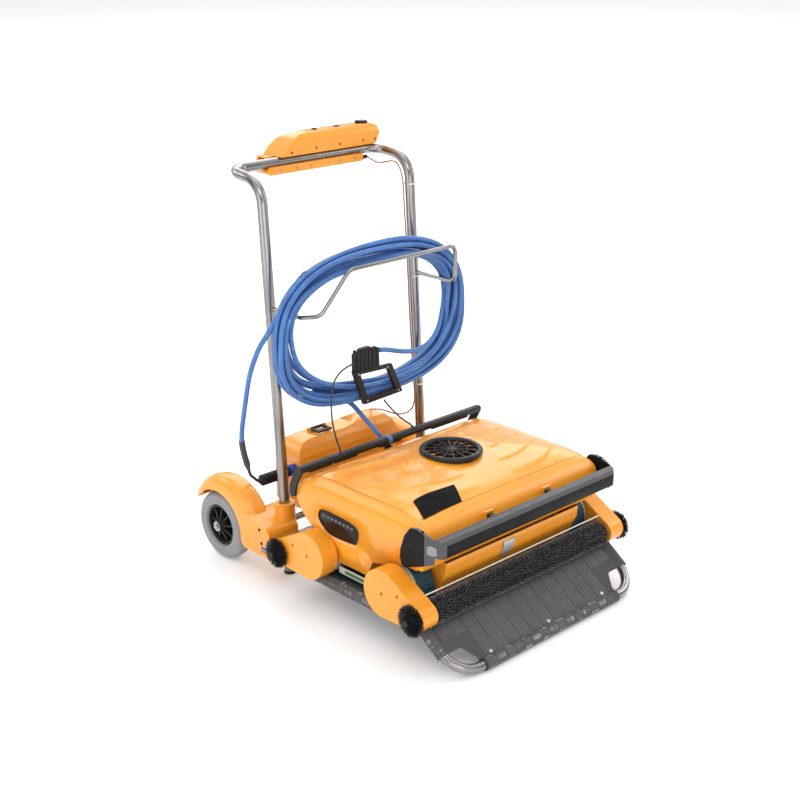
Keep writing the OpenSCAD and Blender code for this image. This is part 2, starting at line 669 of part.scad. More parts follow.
tail_route = [[-21.5, 112, 647.6], [10, 112, 641], [45, 112, 630], [80, 113, 620], [115, 114, 614],
    [150, 117, 614], [185, 122, 621], [215, 130, 634], [240, 138, 653], [258, 146, 676], [270, 152, 702],
    [276, 155, 728]];
rise_route = [gland_tip + 0.3 * gland_dir, gland_tip + 20 * gland_dir, [-32, 130, 414], [-46, 140, 438],
    [-58, 148, 462], [-68, 155, 486]];
drop_route = [[-379, 160, 757], [-394, 163, 738], [-404, 170, 716], [-410, 184, 680], [-411, 200, 643],
    [-408, 216, 603], [-404, 231, 563], [-399, 250, 512], [-392, 270, 461], [-382, 286, 421],
    [-368, 300, 385], [-356, 309, 358], [-344, 318, 334]];
module float_cable_runs() color("steelblue") {
    swept_tube(tail_route, cable_d / 2, 8);
    swept_tube(rise_route, cable_d / 2, 8);
    swept_tube(drop_route, cable_d / 2, 8);
}

lead_route = [[-343.8, 318.2, 333.6], [-333, 326, 312], [-322, 335, 292], [-310, 345, 277], [-298, 353, 267],
    [-287, 358, 257], [-276, 360, 247], [-265.4, 360, 243]];
// Black lead that ends in its ribbed connector.
module supply_lead() color("#202020") {
    swept_tube(lead_route, lead_d / 2, 8);
    x_rod(-265.2, -200, 360, 243, 14);
    x_rod(-200, socket_at.x - 0.3, 360, 243, 17);
}

left_tether = [[-121, 104, 632], [-150, 101, 630], [-180, 100, 619], [-200, 100, 598], [-211, 98, 570],
    [-216, 95, 535], [-218, 91, 500], [-216, 86, 465], [-209, 81, 430], [-203, 77, 408], [-202, 76, 397.6]];
right_tether = [[-16, 98, 500], [-4, 96, 484], [14, 92, 462], [34, 88, 440], [54, 84, 422], [70, 80, 409],
    [77, 77.5, 399.5]];
module tether_cords() color("black") {
    swept_tube(left_tether, tether_d / 2, 8);
    swept_tube(right_tether, tether_d / 2, 8);
}

// Clamp on the coil's loose end with its open strap frame.
module cable_clamp() color("#202020") {
    along_y(103, 123.5) polygon([[-118, 600], [-118, 662], [-106, 668], [-36, 664], [-24, 656], [-24, 600]]);
    along_y(102, 116) difference() {
        polygon([[-125, 606], [19, 600], [62, 507], [-86, 502]]);
        polygon([[-104, 595], [2, 590], [41, 521], [-67, 517]]);
    }
}

handle_frame();
cable_hook();
foot_caps();
platform_frame();
platform_mat();
left_base();
right_base();
wheel_axle();
cross_tube();
caddy_fasteners();
left_tyre();
left_rim();
right_tyre();
right_rim();
supply_tray();
supply_cover();
supply_latch();
power_socket();
supply_transformer();
control_box_top();
control_box_bottom();
control_knob();
power_button();
mode_button();
control_gland();
control_cable();
cable_ties();
hull_cover();
hull_base();
bottom_plate();
outlet_grille();
impeller();
pump_motor();
drive_motors();
filter_cartridge();
front_handle();
front_struts();
rear_handle();
side_windows();
brush_guards();
robot_gland();
front_left_arm();
front_right_arm();
rear_left_arm();
rear_right_arm();
left_track();
right_track();
front_left_pulley();
front_right_pulley();
rear_left_pulley();
rear_right_pulley();
front_brush_shaft();
front_bristles();
rear_brush_shaft();
rear_bristles();
float_cable_coil();
float_cable_runs();
supply_lead();
tether_cords();
cable_clamp();
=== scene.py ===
import math, random
from math import cos, radians, sin
import bpy, bmesh
from mathutils import Vector, Matrix


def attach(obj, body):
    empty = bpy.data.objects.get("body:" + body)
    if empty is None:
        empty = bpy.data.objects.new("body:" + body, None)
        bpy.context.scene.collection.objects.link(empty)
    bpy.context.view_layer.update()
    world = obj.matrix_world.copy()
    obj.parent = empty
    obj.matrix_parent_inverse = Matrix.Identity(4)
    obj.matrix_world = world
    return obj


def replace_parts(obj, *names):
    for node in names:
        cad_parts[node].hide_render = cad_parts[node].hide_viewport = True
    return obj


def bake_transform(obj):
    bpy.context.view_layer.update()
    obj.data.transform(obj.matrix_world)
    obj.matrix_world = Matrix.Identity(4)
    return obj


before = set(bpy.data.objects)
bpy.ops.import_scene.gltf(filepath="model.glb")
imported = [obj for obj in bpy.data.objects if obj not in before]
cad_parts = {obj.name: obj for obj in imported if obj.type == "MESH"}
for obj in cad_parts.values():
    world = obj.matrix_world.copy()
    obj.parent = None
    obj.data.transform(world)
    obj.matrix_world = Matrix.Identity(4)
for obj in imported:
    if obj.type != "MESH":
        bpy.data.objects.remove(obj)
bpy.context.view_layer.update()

MM = 0.001
TAU = 2 * math.pi
rng = random.Random(11)
scene = bpy.context.scene


# ---------- camera, light and floor
cam_data = bpy.data.cameras.new("camera")
cam_data.lens = 62.55
cam_data.sensor_width = 36.0
cam = bpy.data.objects.new("camera", cam_data)
cam.location = (-2.546, -2.615, 1.85)
cam.rotation_euler = (radians(70), 0, radians(-43.7))
scene.collection.objects.link(cam)
scene.camera = cam
scene.view_settings.view_transform = "Standard"


def area_light(name, place, target, size, power):
    data = bpy.data.lights.new(name, "AREA")
    data.shape = "RECTANGLE"
    data.size, data.size_y = size
    data.energy = power
    o = bpy.data.objects.new(name, data)
    o.location = place
    o.rotation_euler = (Vector(target) - Vector(place)).to_track_quat("-Z", "Y").to_euler()
    scene.collection.objects.link(o)


area_light("key_light", (-2.4, -2.2, 3.4), (0, 0, 0.3), (2.2, 1.6), 33)
area_light("top_light", (0.3, 0.4, 3.6), (0, 0, 0.3), (2.6, 2.6), 19)
area_light("side_light", (2.8, -1.6, 1.9), (0, 0, 0.4), (1.2, 2.0), 18)
area_light("front_fill", (-1.7, -3.3, 0.9), (0, -0.3, 0.2), (2.6, 1.3), 20)
area_light("left_fill", (-3.2, 0.2, 0.9), (0, 0, 0.3), (2.2, 1.4), 16)
area_light("rear_light", (-1.6, 2.9, 2.2), (0, 0, 0.5), (1.8, 1.2), 16)
area_light("floor_light", (6.4, 6.8, 5.2), (6.4, 6.8, 0), (11.0, 11.0), 820)

world = bpy.data.worlds.new("studio")
scene.world = world
world.use_nodes = True
wn, wl = world.node_tree.nodes, world.node_tree.links
wn.clear()


def put_inputs(node, values):
    for name, value in values.items():
        node.inputs[name].default_value = value


def ramp_node(nodes, stops):
    """A ramp whose stops are (position, grey or colour)."""
    ramp = nodes.new("ShaderNodeValToRGB")
    el = ramp.color_ramp.elements
    while len(el) < len(stops):
        el.new(0.5)
    for e, (at, c) in zip(el, stops):
        e.position = at
        e.color = (c, c, c, 1) if isinstance(c, float) else (*c, 1)
    return ramp


def world_ramp(stops, kind, turn=(0, 0, 0)):
    coord = wn.new("ShaderNodeTexCoord")
    grad = wn.new("ShaderNodeTexGradient")
    grad.gradient_type = kind
    mapping = wn.new("ShaderNodeMapping")
    mapping.inputs["Rotation"].default_value = turn
    ramp = ramp_node(wn, stops)
    wl.new(coord.outputs["Generated"], mapping.inputs["Vector"])
    wl.new(mapping.outputs["Vector"], grad.inputs["Vector"])
    wl.new(grad.outputs["Color"], ramp.inputs["Fac"])
    return ramp.outputs["Color"]


# soft white room with a few darker vertical panels, which is what gives polished tube its streaks
panels = world_ramp([(0.0, 0.95), (0.07, 0.95), (0.10, 0.22), (0.16, 0.25), (0.20, 1.0), (0.33, 1.0),
    (0.36, 0.16), (0.42, 0.2), (0.46, 1.0), (0.60, 0.95), (0.63, 0.3), (0.69, 0.3), (0.72, 1.0), (0.84, 1.0),
    (0.87, 0.18), (0.93, 0.2), (0.96, 0.95)], "RADIAL")
height = world_ramp([(0.0, 0.0), (0.32, 0.0), (0.75, 1.0)], "LINEAR", (0, radians(90), 0))
white = wn.new("ShaderNodeMix")
white.data_type = "RGBA"
white.inputs["B"].default_value = (1, 1, 1, 1)
wl.new(height, white.inputs["Factor"])
wl.new(panels, white.inputs["A"])
back = wn.new("ShaderNodeBackground")
back.inputs["Strength"].default_value = 0.95
wl.new(white.outputs["Result"], back.inputs["Color"])
out = wn.new("ShaderNodeOutputWorld")
wl.new(back.outputs["Background"], out.inputs["Surface"])


# ---------- materials
def material(name, base, other, rough, metal=0.0, coat=0.0, coat_rough=0.1, spec=0.5, sheen=0.0,
        tint_scale=6.0, rough_scale=25.0, grain=(0, 0), wave=(0, 0), scratch=0.0, speck=None):
    """A procedural finish: two tones mixed by noise (one number is a grey), a roughness that varies between
    two values, and specks as (colour, scale, threshold). grain and wave are (strength, scale) of bumps."""
    m = bpy.data.materials.new(name)
    m.use_nodes = True
    n, l = m.node_tree.nodes, m.node_tree.links
    p = n["Principled BSDF"]
    put_inputs(p, {"Metallic": metal, "Specular IOR Level": spec, "Coat Weight": coat,
        "Coat Roughness": coat_rough, "Sheen Weight": sheen})
    coord = n.new("ShaderNodeTexCoord")

    def noise(scale, detail=4.0, roughness=0.55):
        t = n.new("ShaderNodeTexNoise")
        put_inputs(t, {"Scale": scale, "Detail": detail, "Roughness": roughness})
        l.new(coord.outputs["Object"], t.inputs["Vector"])
        return t.outputs["Fac"]

    def ramp(src, stops):
        r = ramp_node(n, stops)
        l.new(src, r.inputs["Fac"])
        return r.outputs["Color"]

    colour = ramp(noise(tint_scale), [(0.32, base), (0.68, other)])
    if speck:
        tone, scale, at = speck
        dots = n.new("ShaderNodeMix")
        dots.data_type = "RGBA"
        l.new(ramp(noise(scale, 2.0, 0.5), [(at, 0.0), (at + 0.06, 1.0)]), dots.inputs["Factor"])
        l.new(colour, dots.inputs["A"])
        dots.inputs["B"].default_value = (*tone, 1)
        colour = dots.outputs["Result"]
    l.new(colour, p.inputs["Base Color"])
    low, high = rough
    l.new(ramp(noise(rough_scale, 6.0), [(0.3, low), (0.7, high)]), p.inputs["Roughness"])
    last = None
    for strength, scale, detail, distance in ((*wave, 2.0, 0.004), (*grain, 2.0, 0.0003),
            (scratch, 90.0, 8.0, 0.0002)):
        if strength:
            b = n.new("ShaderNodeBump")
            put_inputs(b, {"Strength": strength, "Distance": distance})
            l.new(noise(scale, detail), b.inputs["Height"])
            if last:
                l.new(last, b.inputs["Normal"])
            last = b.outputs["Normal"]
    if last:
        l.new(last, p.inputs["Normal"])
    return m


M = {
    "orange": material("orange_gloss", (0.88, 0.345, 0.024), (0.84, 0.305, 0.017), rough=(0.22, 0.34),
        coat=0.28, coat_rough=0.12, tint_scale=3.5, grain=(0.10, 900), speck=((0.78, 0.265, 0.017), 60, 0.70),
        wave=(0.02, 8)),
    "orange_seam": material("orange_seam", (0.42, 0.15, 0.012), (0.30, 0.10, 0.01), rough=(0.6, 0.81)),
    "steel": material("stainless_tube", (0.33, 0.32, 0.312), (0.25, 0.242, 0.236), rough=(0.17, 0.27),
        metal=1.0, tint_scale=9, rough_scale=14, grain=(0.02, 260), scratch=0.05,
        speck=((0.33, 0.30, 0.27), 40, 0.68)),
    "bolt": material("zinc_bolt", (0.50, 0.49, 0.47), (0.38, 0.37, 0.36), rough=(0.32, 0.48), metal=1.0,
        grain=(0.15, 600)),
    "mat": material("mat_rubber", (0.070, 0.068, 0.068), (0.052, 0.050, 0.050), rough=(0.60, 0.78),
        tint_scale=5, grain=(0.4, 700), speck=((0.095, 0.093, 0.09), 150, 0.68)),
    "tread": material("tread_bar", (0.138, 0.134, 0.133), (0.112, 0.109, 0.108), rough=(0.50, 0.66),
        tint_scale=9, grain=(0.3, 700), speck=((0.19, 0.187, 0.183), 120, 0.66)),
    "tread_worn": material("worn_tread_bar", (0.46, 0.455, 0.45), (0.17, 0.168, 0.165), rough=(0.5, 0.66),
        tint_scale=55, grain=(0.4, 500), speck=((0.62, 0.61, 0.60), 90, 0.62)),
    "tyre": material("grey_tyre", (0.275, 0.277, 0.28), (0.235, 0.237, 0.24), rough=(0.62, 0.8),
        tint_scale=14, grain=(0.35, 600), speck=((0.33, 0.33, 0.325), 120, 0.66)),
    "black": material("black_moulding", 0.010, 0.017, rough=(0.36, 0.5),
        spec=0.26, grain=(0.35, 900), tint_scale=12),
    "black_gloss": material("black_gloss", (0.012, 0.012, 0.014), (0.022, 0.022, 0.024), rough=(0.14, 0.24),
        coat=0.4, grain=(0.06, 400)),
    "charcoal": material("charcoal_moulding", (0.074, 0.073, 0.078), (0.060, 0.059, 0.064),
        rough=(0.40, 0.52), spec=0.35, grain=(0.3, 1000), tint_scale=10,
        speck=((0.10, 0.10, 0.105), 140, 0.68)),
    # black of the front handle's end caps, also used as painted shade on the handle's front and under faces
    "cap_and_painted_shade_black": material("end_cap_and_painted_shade_black", 0.006, (0.010, 0.009, 0.010), rough=(0.42, 0.55),
        spec=0.12, grain=(0.25, 900), tint_scale=9),
    "sticker": material("plate_film", 0.005, 0.009, rough=(0.55, 0.68),
        spec=0.05, grain=(0.15, 400), tint_scale=20),
    "clip_steel": material("brushed_clip", (0.60, 0.575, 0.56), (0.50, 0.48, 0.465), rough=(0.42, 0.55),
        metal=0.55, grain=(0.3, 400), tint_scale=30, scratch=0.2),
    "slat_grey": material("window_slats", (0.15, 0.145, 0.15), (0.07, 0.068, 0.07), rough=(0.25, 0.4),
        tint_scale=60, grain=(0.2, 400)),
    "grey_plate": material("grey_plate", (0.25, 0.25, 0.275), (0.20, 0.20, 0.22), rough=(0.40, 0.54),
        grain=(0.3, 400)),
    "pale_grey": material("pale_grey_plastic", (0.56, 0.56, 0.55), (0.47, 0.47, 0.46), rough=(0.38, 0.52),
        grain=(0.2, 400), speck=((0.30, 0.28, 0.25), 70, 0.66)),
    "white": material("white_plastic", (0.80, 0.80, 0.77), (0.70, 0.70, 0.66), rough=(0.35, 0.4725),
        grain=(0.1, 400)),
    "teal": material("track_rubber", (0.016, 0.062, 0.078), (0.011, 0.046, 0.060), rough=(0.46, 0.62),
        grain=(0.4, 600), tint_scale=20, speck=((0.05, 0.10, 0.11), 90, 0.62)),
    "green": material("green_strip", (0.055, 0.16, 0.022), (0.04, 0.12, 0.015), rough=(0.42, 0.567),
        grain=(0.2, 400), tint_scale=30),
    "bristle": material("bristle_nylon", (0.008, 0.008, 0.009), (0.015, 0.015, 0.018), rough=(0.34, 0.5),
        tint_scale=60, grain=(0.1, 400), spec=0.3),
    # paler roller bristle tips: a painted highlight on the tuft ends
    "bristle_tip_painted_highlight": material("bristle_tip_painted_highlight", (0.30, 0.30, 0.32), (0.055, 0.055, 0.062), rough=(0.32, 0.5),
        tint_scale=90, grain=(0.1, 400)),
    # paler star brush tips: a painted highlight on the bristle ends
    "star_tip_painted_highlight": material("star_brush_tip_painted_highlight", (0.040, 0.039, 0.043), (0.014, 0.014, 0.016), rough=(0.25, 0.4),
        tint_scale=90, grain=(0.1, 400)),
    "blue": material("blue_cable", (0.060, 0.185, 0.490), (0.038, 0.120, 0.350), rough=(0.36, 0.5), coat=0.08,
        tint_scale=14, grain=(0.25, 500), speck=((0.13, 0.30, 0.62), 110, 0.66)),
    "blue_cap": material("blue_moulding", (0.030, 0.070, 0.34), (0.022, 0.05, 0.26), rough=(0.3, 0.405),
        grain=(0.2, 400)),
    "lead": material("black_lead", (0.020, 0.020, 0.022), (0.032, 0.032, 0.035), rough=(0.42, 0.55),
        grain=(0.25, 700), tint_scale=25),
    "sleeve": material("grey_sleeve", (0.050, 0.053, 0.060), (0.036, 0.038, 0.044), rough=(0.5, 0.675),
        grain=(0.4, 400)),
    "brown": material("brown_cable", (0.44, 0.165, 0.065), (0.33, 0.115, 0.045), rough=(0.42, 0.567),
        grain=(0.2, 400), tint_scale=40),
    "smoke": material("smoked_window", (0.007, 0.005, 0.004), (0.018, 0.009, 0.005), rough=(0.12, 0.2),
        spec=0.20, tint_scale=22),
    "motor": material("motor_paint", (0.16, 0.165, 0.175), (0.12, 0.125, 0.135), rough=(0.38, 0.513),
        grain=(0.3, 400)),
    "copper": material("copper_core", (0.35, 0.17, 0.07), (0.25, 0.12, 0.05), rough=(0.4, 0.54),
        grain=(0.5, 300)),
    "cloth": material("filter_cloth", (0.60, 0.57, 0.47), (0.50, 0.47, 0.38), rough=(0.85, 1.0),
        grain=(0.7, 900), sheen=0.3, wave=(0.3, 60)),
    "floor": material("floor_pale", 0.90, 0.885, rough=(0.6, 0.75),
        tint_scale=0.6, rough_scale=2.0, spec=0.2),
}
put_inputs(M["floor"].node_tree.nodes["Principled BSDF"],
    {"Emission Color": (1, 1, 1, 1), "Emission Strength": 0.12})


# ---------- mesh tools
def mm(*point):
    return Vector(point) * MM


def turned(at, angle, axis):
    """A frame at a point in mm, turned about one axis."""
    return Matrix.Translation(mm(*at)) @ Matrix.Rotation(angle, 4, axis)


def step(v, lo, hi):
    """Rises smoothly from 0 at lo to 1 at hi."""
    t = min(max((v - lo) / (hi - lo), 0.0), 1.0)
    return t * t * (3 - 2 * t)


def new_mesh(name, verts, faces, mats, body, slot, smooth=35, face_mats=None):
    me = bpy.data.meshes.new(name)
    me.from_pydata([tuple(v) for v in verts], [], faces)
    me.validate()
    if name != "floor":
        bm = bmesh.new()
        bm.from_mesh(me)
        bmesh.ops.recalc_face_normals(bm, faces=bm.faces)
        bm.to_mesh(me)
        bm.free()
    return finish_mesh(me, name, mats, body, smooth, face_mats)


def finish_mesh(me, name, mats, body, smooth=35, face_mats=None):
    o = bpy.data.objects.new(name, me)
    for m in mats if isinstance(mats, (list, tuple)) else [mats]:
        me.materials.append(M[m])
    if face_mats:
        me.polygons.foreach_set("material_index", face_mats)
    me.polygons.foreach_set("use_smooth", [True] * len(me.polygons))
    me.set_sharp_from_angle(angle=radians(smooth))
    scene.collection.objects.link(o)
    if body:
        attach(o, body)
    return o


def round_edges(o, width, segments):
    b = o.modifiers.new("round", "BEVEL")
    b.width = width * MM
    b.segments = segments
    b.limit_method = "ANGLE"
    b.angle_limit = radians(35)
    b.harden_normals = True
    b.miter_outer = "MITER_ARC"
    return o


def refine(node, mats, body, width, segments=2, pick=None):
    """A moulded copy of a CAD node: flat faces joined, edges rounded. pick gives each face a material by the
    way it points, which can paint shade.
    """
    bm = bmesh.new()
    bm.from_mesh(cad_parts[node].data)
    bmesh.ops.remove_doubles(bm, verts=bm.verts, dist=1e-6)
    bmesh.ops.dissolve_limit(bm, angle_limit=radians(0.6), verts=bm.verts, edges=bm.edges)
    name = node + "_shell"
    me = bpy.data.meshes.new(name)
    bm.to_mesh(me)
    bm.free()
    o = finish_mesh(me, name, mats, body, 40, [pick(q.normal) for q in me.polygons] if pick else None)
    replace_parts(round_edges(o, width, segments), node)


def cad(node, mat):
    """Gives a CAD node that is shown as it is its finish."""
    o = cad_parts[node]
    if not o.material_slots:
        o.data.materials.append(None)
    for s in o.material_slots:
        s.link = "OBJECT"
        s.material = M[mat]


def curve_points(points, pitch):
    """Points about pitch mm apart along a smooth curve through the given points."""
    p = [Vector(q) * MM for q in points]
    p = [2 * p[0] - p[1]] + p + [2 * p[-1] - p[-2]]
    out = []
    for i in range(1, len(p) - 2):
        a, b, c, d = p[i - 1:i + 3]
        n = max(1, round((c - b).length / (pitch * MM)))
        for k in range(n):
            t = k / n
            out.append(0.5 * ((2 * b) + (c - a) * t + (2 * a - 5 * b + 4 * c - d) * t * t
                + (3 * b - a - 3 * c + d) * t ** 3))
    out.append(p[-2])
    return out


def tube_data(path, radius, sides):
    """A closed tube along path. radius is one number or a function of the share of the way along."""
    verts, faces = [], []
    n = len(path)
    u = Vector((0.31, 0.87, 0.38))
    for i, q in enumerate(path):
        w = (path[min(i + 1, n - 1)] - path[max(i - 1, 0)]).normalized()
        u = (u - u.dot(w) * w).normalized()
        v = w.cross(u)
        r = radius(i / (n - 1)) if callable(radius) else radius
        for k in range(sides):
            t = TAU * k / sides
            verts.append(q + r * (cos(t) * u + sin(t) * v))
    for i in range(n - 1):
        for k in range(sides):
            j = (k + 1) % sides
            faces.append((i * sides + k, i * sides + j, (i + 1) * sides + j, (i + 1) * sides + k))
    faces.append(tuple(reversed(range(sides))))
    faces.append(tuple((n - 1) * sides + k for k in range(sides)))
    return verts, faces


def tube(name, path, radius, mat, body, slot, sides):
    return new_mesh(name, *tube_data(path, radius, sides), mat, body, slot, 50)


def lathe_data(profile, origin, axis, sides):
    """Turns a closed (along, radius) outline in mm about an axis through origin."""
    w = Vector(axis).normalized()
    u = w.orthogonal().normalized()
    v = w.cross(u)
    o = Vector(origin) * MM
    verts, faces = [], []
    m = len(profile)
    for k in range(sides):
        t = TAU * k / sides
        d = cos(t) * u + sin(t) * v
        for a, r in profile:
            verts.append(o + (a * w + max(r, 0.01) * d) * MM)
    for k in range(sides):
        j = (k + 1) % sides
        for i in range(m):
            h = (i + 1) % m
            faces.append((k * m + i, j * m + i, j * m + h, k * m + h))
    return verts, faces


def lathe(name, profile, origin, axis, mat, body, slot, sides):
    return new_mesh(name, *lathe_data(profile, origin, axis, sides), mat, body, slot)


def mirrored(half, *middle):
    """A lathe outline from its half on the far side of the middle."""
    return [(-a, r) for a, r in half[::-1]] + [*middle] + half


def screw(foot, r, shoulder, top, chamfer, socket, floor):
    """Outline of a screw's head with its socket, for a lathe."""
    return [(foot, 0), (foot, r), (shoulder, r), (top, r - chamfer), (top, socket), (floor, socket - 0.2),
        (floor, 0)]


# a pad without its underside
PAD_FACES = [(4, 5, 6, 7), (0, 1, 5, 4), (1, 2, 6, 5), (2, 3, 7, 6), (3, 0, 4, 7)]
# angles of a bristle's three corners round its middle
THREE = [0.4 + k * TAU / 3 for k in range(3)]


class Parts:
    """Collects many small solids into one mesh."""

    def __init__(self):
        self.v, self.f, self.m = [], [], []

    def add(self, verts, faces, mat=0):
        base = len(self.v)
        self.v += list(verts)
        self.f += [tuple(base + i for i in f) for f in faces]
        self.m += [mat] * len(faces)

    def lathe(self, profile, origin, axis, sides, mat=0):
        self.add(*lathe_data(profile, origin, axis, sides), mat)

    def prism(self, outline, lo, hi, axis, mat=0, frame_matrix=None):
        """A (u, w) outline in mm extruded along axis: x takes (Y, Z), y takes (X, Z), z takes (X, Y)."""
        put = {
            "x": lambda a, b, h: (h, a, b),
            "y": lambda a, b, h: (a, h, b),
            "z": lambda a, b, h: (a, b, h),
        }[axis]
        n = len(outline)
        v = [Vector(put(a, b, h)) * MM for h in (lo, hi) for a, b in outline]
        if frame_matrix:
            v = [frame_matrix @ q for q in v]
        area = sum(outline[i][0] * outline[(i + 1) % n][1] - outline[(i + 1) % n][0] * outline[i][1]
            for i in range(n))
        flip = (area > 0) == (axis == "y")
        f = [tuple(range(n))[::-1], tuple(range(n, 2 * n))]
        f += [(i, (i + 1) % n, n + (i + 1) % n, n + i) for i in range(n)]
        self.add(v, [tuple(reversed(q)) for q in f] if flip else f, mat)

    def slab(self, corners, up, height, inset):
        """A low raised pad on four corner points, a little smaller at its top."""
        c = sum(corners, Vector()) / 4
        top = [q + (c - q) * inset * MM / max((c - q).length, 1e-6) + up * height * MM for q in corners]
        self.add(corners + top, PAD_FACES)

    def bristle(self, root, tip, width, split, painted_highlight_mat=1):
        """A tapered bristle in two materials: dark up to the split, then paler at its tip as a painted
        highlight.
        """
        w = (tip - root).normalized()
        u = w.orthogonal().normalized()
        v = w.cross(u)
        rings = []
        for at, size in ((0, width), (split, 0.9 * width), (1, 0.55 * width)):
            c = root + (tip - root) * at
            rings += [c + size * (cos(t) * u + sin(t) * v) for t in THREE]
        walls = [(0, 1, 4, 3), (1, 2, 5, 4), (2, 0, 3, 5)]
        self.add(rings[:6], walls)
        self.add(rings[3:], walls + [(3, 4, 5)], painted_highlight_mat)

    def build(self, name, mats, body, slot, smooth=35):
        return new_mesh(name, self.v, self.f, mats, body, slot, smooth, self.m)


# ---------- floor
floor = new_mesh("floor", [(-30, -30, -0.0006), (30, -30, -0.0006), (30, 30, -0.0006), (-30, 30, -0.0006)],
    [(0, 1, 2, 3)], "floor", None, None)

# ---------- cords
ROW_MID = -153.5
COIL_X, COIL_Z, COIL_HALF_X, COIL_HALF_Z = -12, 718, 353, 222
CABLE_R, LEAD_R, TETHER_R, SQUARE = 7, 4.5, 2.5, 2.6
SOCKET_Y, SOCKET_Z = 360, 243
GLAND_DIR = Vector((-0.44, 0.32, 0.84)).normalized()
GLAND_FOOT = Vector((2, 100, 349))
GLAND_TIP = GLAND_FOOT + 32 * GLAND_DIR


def oval(angle, inset):
    """Point of the coil's squarish oval at an angle, inset from its outer edge."""
    c, s = cos(angle), sin(angle)
    m = (abs(c) ** SQUARE + abs(s) ** SQUARE) ** (-1 / SQUARE)
    return COIL_X + (COIL_HALF_X - inset) * m * c, COIL_Z + (COIL_HALF_Z - inset * 1.1) * m * s


depth_rows = [132, 148, 164, 180]
inset_rows = [8, 23, 38]
# where a turn hangs in: its place in turns, how far, how long
slack = [(1.97, 26, 0.10), (2.30, 17, 0.07), (3.02, 22, 0.09), (3.34, 20, 0.07), (3.95, 30, 0.11),
    (4.27, 15, 0.07), (4.66, 10, 0.10), (6.98, 9, 0.08), (7.30, 8, 0.06)]
# the rows that the turns lie in, as (inset, depth)
winding = [(1, 3), (2, 3), (2, 2), (2, 1), (2, 0), (1, 0), (0, 0), (0, 1), (1, 1), (1, 2), (0, 2), (0, 2)]
start_angle = radians(235)
end_turns = 10.72
coil_route = []
per_turn = 60
for i in range(int(end_turns * per_turn) + 1):
    t = i / per_turn
    k = min(int(t), len(winding) - 2)
    f = step(t - k, 0.0, 1.0)
    a, b = winding[k], winding[k + 1]
    inset = inset_rows[a[0]] * (1 - f) + inset_rows[b[0]] * f
    depth = depth_rows[a[1]] * (1 - f) + depth_rows[b[1]] * f
    angle = start_angle + TAU * t
    turn = t * 0.37
    inset += 4.4 * sin(2 * angle + 2.1 * turn) + 2.2 * sin(3 * angle + 5.0 * turn + 1)
    depth += 2.2 * sin(angle + 4.1 * turn) + 1.5 * sin(2 * angle - 3.3 * turn)
    top = max(0.0, sin(angle + 0.25)) ** 3
    if 5 < t < 9.2:
        inset -= 17 * top * min(1.0, t - 5, 9.2 - t)
    inset += sum(deep * math.exp(-((t - at) / wide) ** 2) for at, deep, wide in slack)
    x, z = oval(angle, inset)
    coil_route.append((x, depth, z))
drop_route = [(-379, 160, 757), (-394, 163, 738), (-404, 170, 716), (-410, 184, 680), (-411, 200, 643),
    (-408, 216, 603), (-404, 231, 563), (-399, 250, 512), (-392, 270, 461), (-382, 286, 421),
    (-368, 300, 385), (-356, 309, 358), (-344, 318, 334)]
while coil_route[-1][2] < drop_route[0][2] + 34:
    coil_route.pop()
cable_path = curve_points(coil_route + drop_route, 14)
float_cable = tube("float_cable", cable_path, CABLE_R * MM, "blue", "caddy", "cable_blue", 14)

rise_route = [tuple(GLAND_TIP - 4 * GLAND_DIR), tuple(GLAND_TIP + 20 * GLAND_DIR), (-32, 132, 414),
    (-46, 148, 438), (-58, 164, 462), (-76, 177, 486), (-104, 182, 501), (-138, 182, 507), (-170, 181, 514),
    (-200, 180, 524)]
rise_path = curve_points(rise_route, 9)
cable_rise = tube("float_cable_rise", rise_path, CABLE_R * MM, "blue", None, "cable_blue", 14)

tail_route = [(-21.5, 112, 647.6), (10, 112, 641), (45, 112, 630), (80, 113, 620), (115, 114, 614),
    (150, 117, 614), (185, 122, 621), (215, 130, 634), (240, 138, 653), (258, 146, 676), (271, 152, 702),
    (282, 157, 730), (291, 163, 758), (299, 169, 786), (303, 173, 812)]
tail_path = curve_points(tail_route, 9)
cable_tail = tube("float_cable_tail", tail_path, CABLE_R * MM, "blue", "caddy", "cable_blue", 14)

lead_route = [(-343.8, 318.2, 333.6), (-333, 326, 312), (-322, 335, 292), (-310, 345, 277), (-298, 353, 267),
    (-287, 358, 257), (-276, 360, 247), (-265.4, 360, 243)]
lead_path = curve_points(lead_route, 7)
supply_lead = tube("black_supply_lead", lead_path, LEAD_R * MM, "lead", "caddy", "cable_black", 12)

left_tether = [(-121, 104, 632), (-150, 101, 630), (-180, 100, 619), (-200, 100, 598), (-211, 98, 570),
    (-216, 95, 535), (-218, 91, 500), (-216, 86, 465), (-209, 81, 430), (-203, 77, 408), (-202, 76, 397.6)]
right_tether = [(-16, 98, 500), (-4, 96, 484), (14, 92, 462), (34, 88, 440), (54, 84, 422), (70, 80, 409),
    (77, 77.5, 399.5)]
left_cord_path = curve_points(left_tether, 7)
right_cord_path = curve_points(right_tether, 6)
left_cord = tube("left_tether_cord", left_cord_path, TETHER_R * MM, "lead", None, "cable_black", 10)
right_cord = tube("right_tether_cord", right_cord_path, TETHER_R * MM, "lead", None, "cable_black", 10)


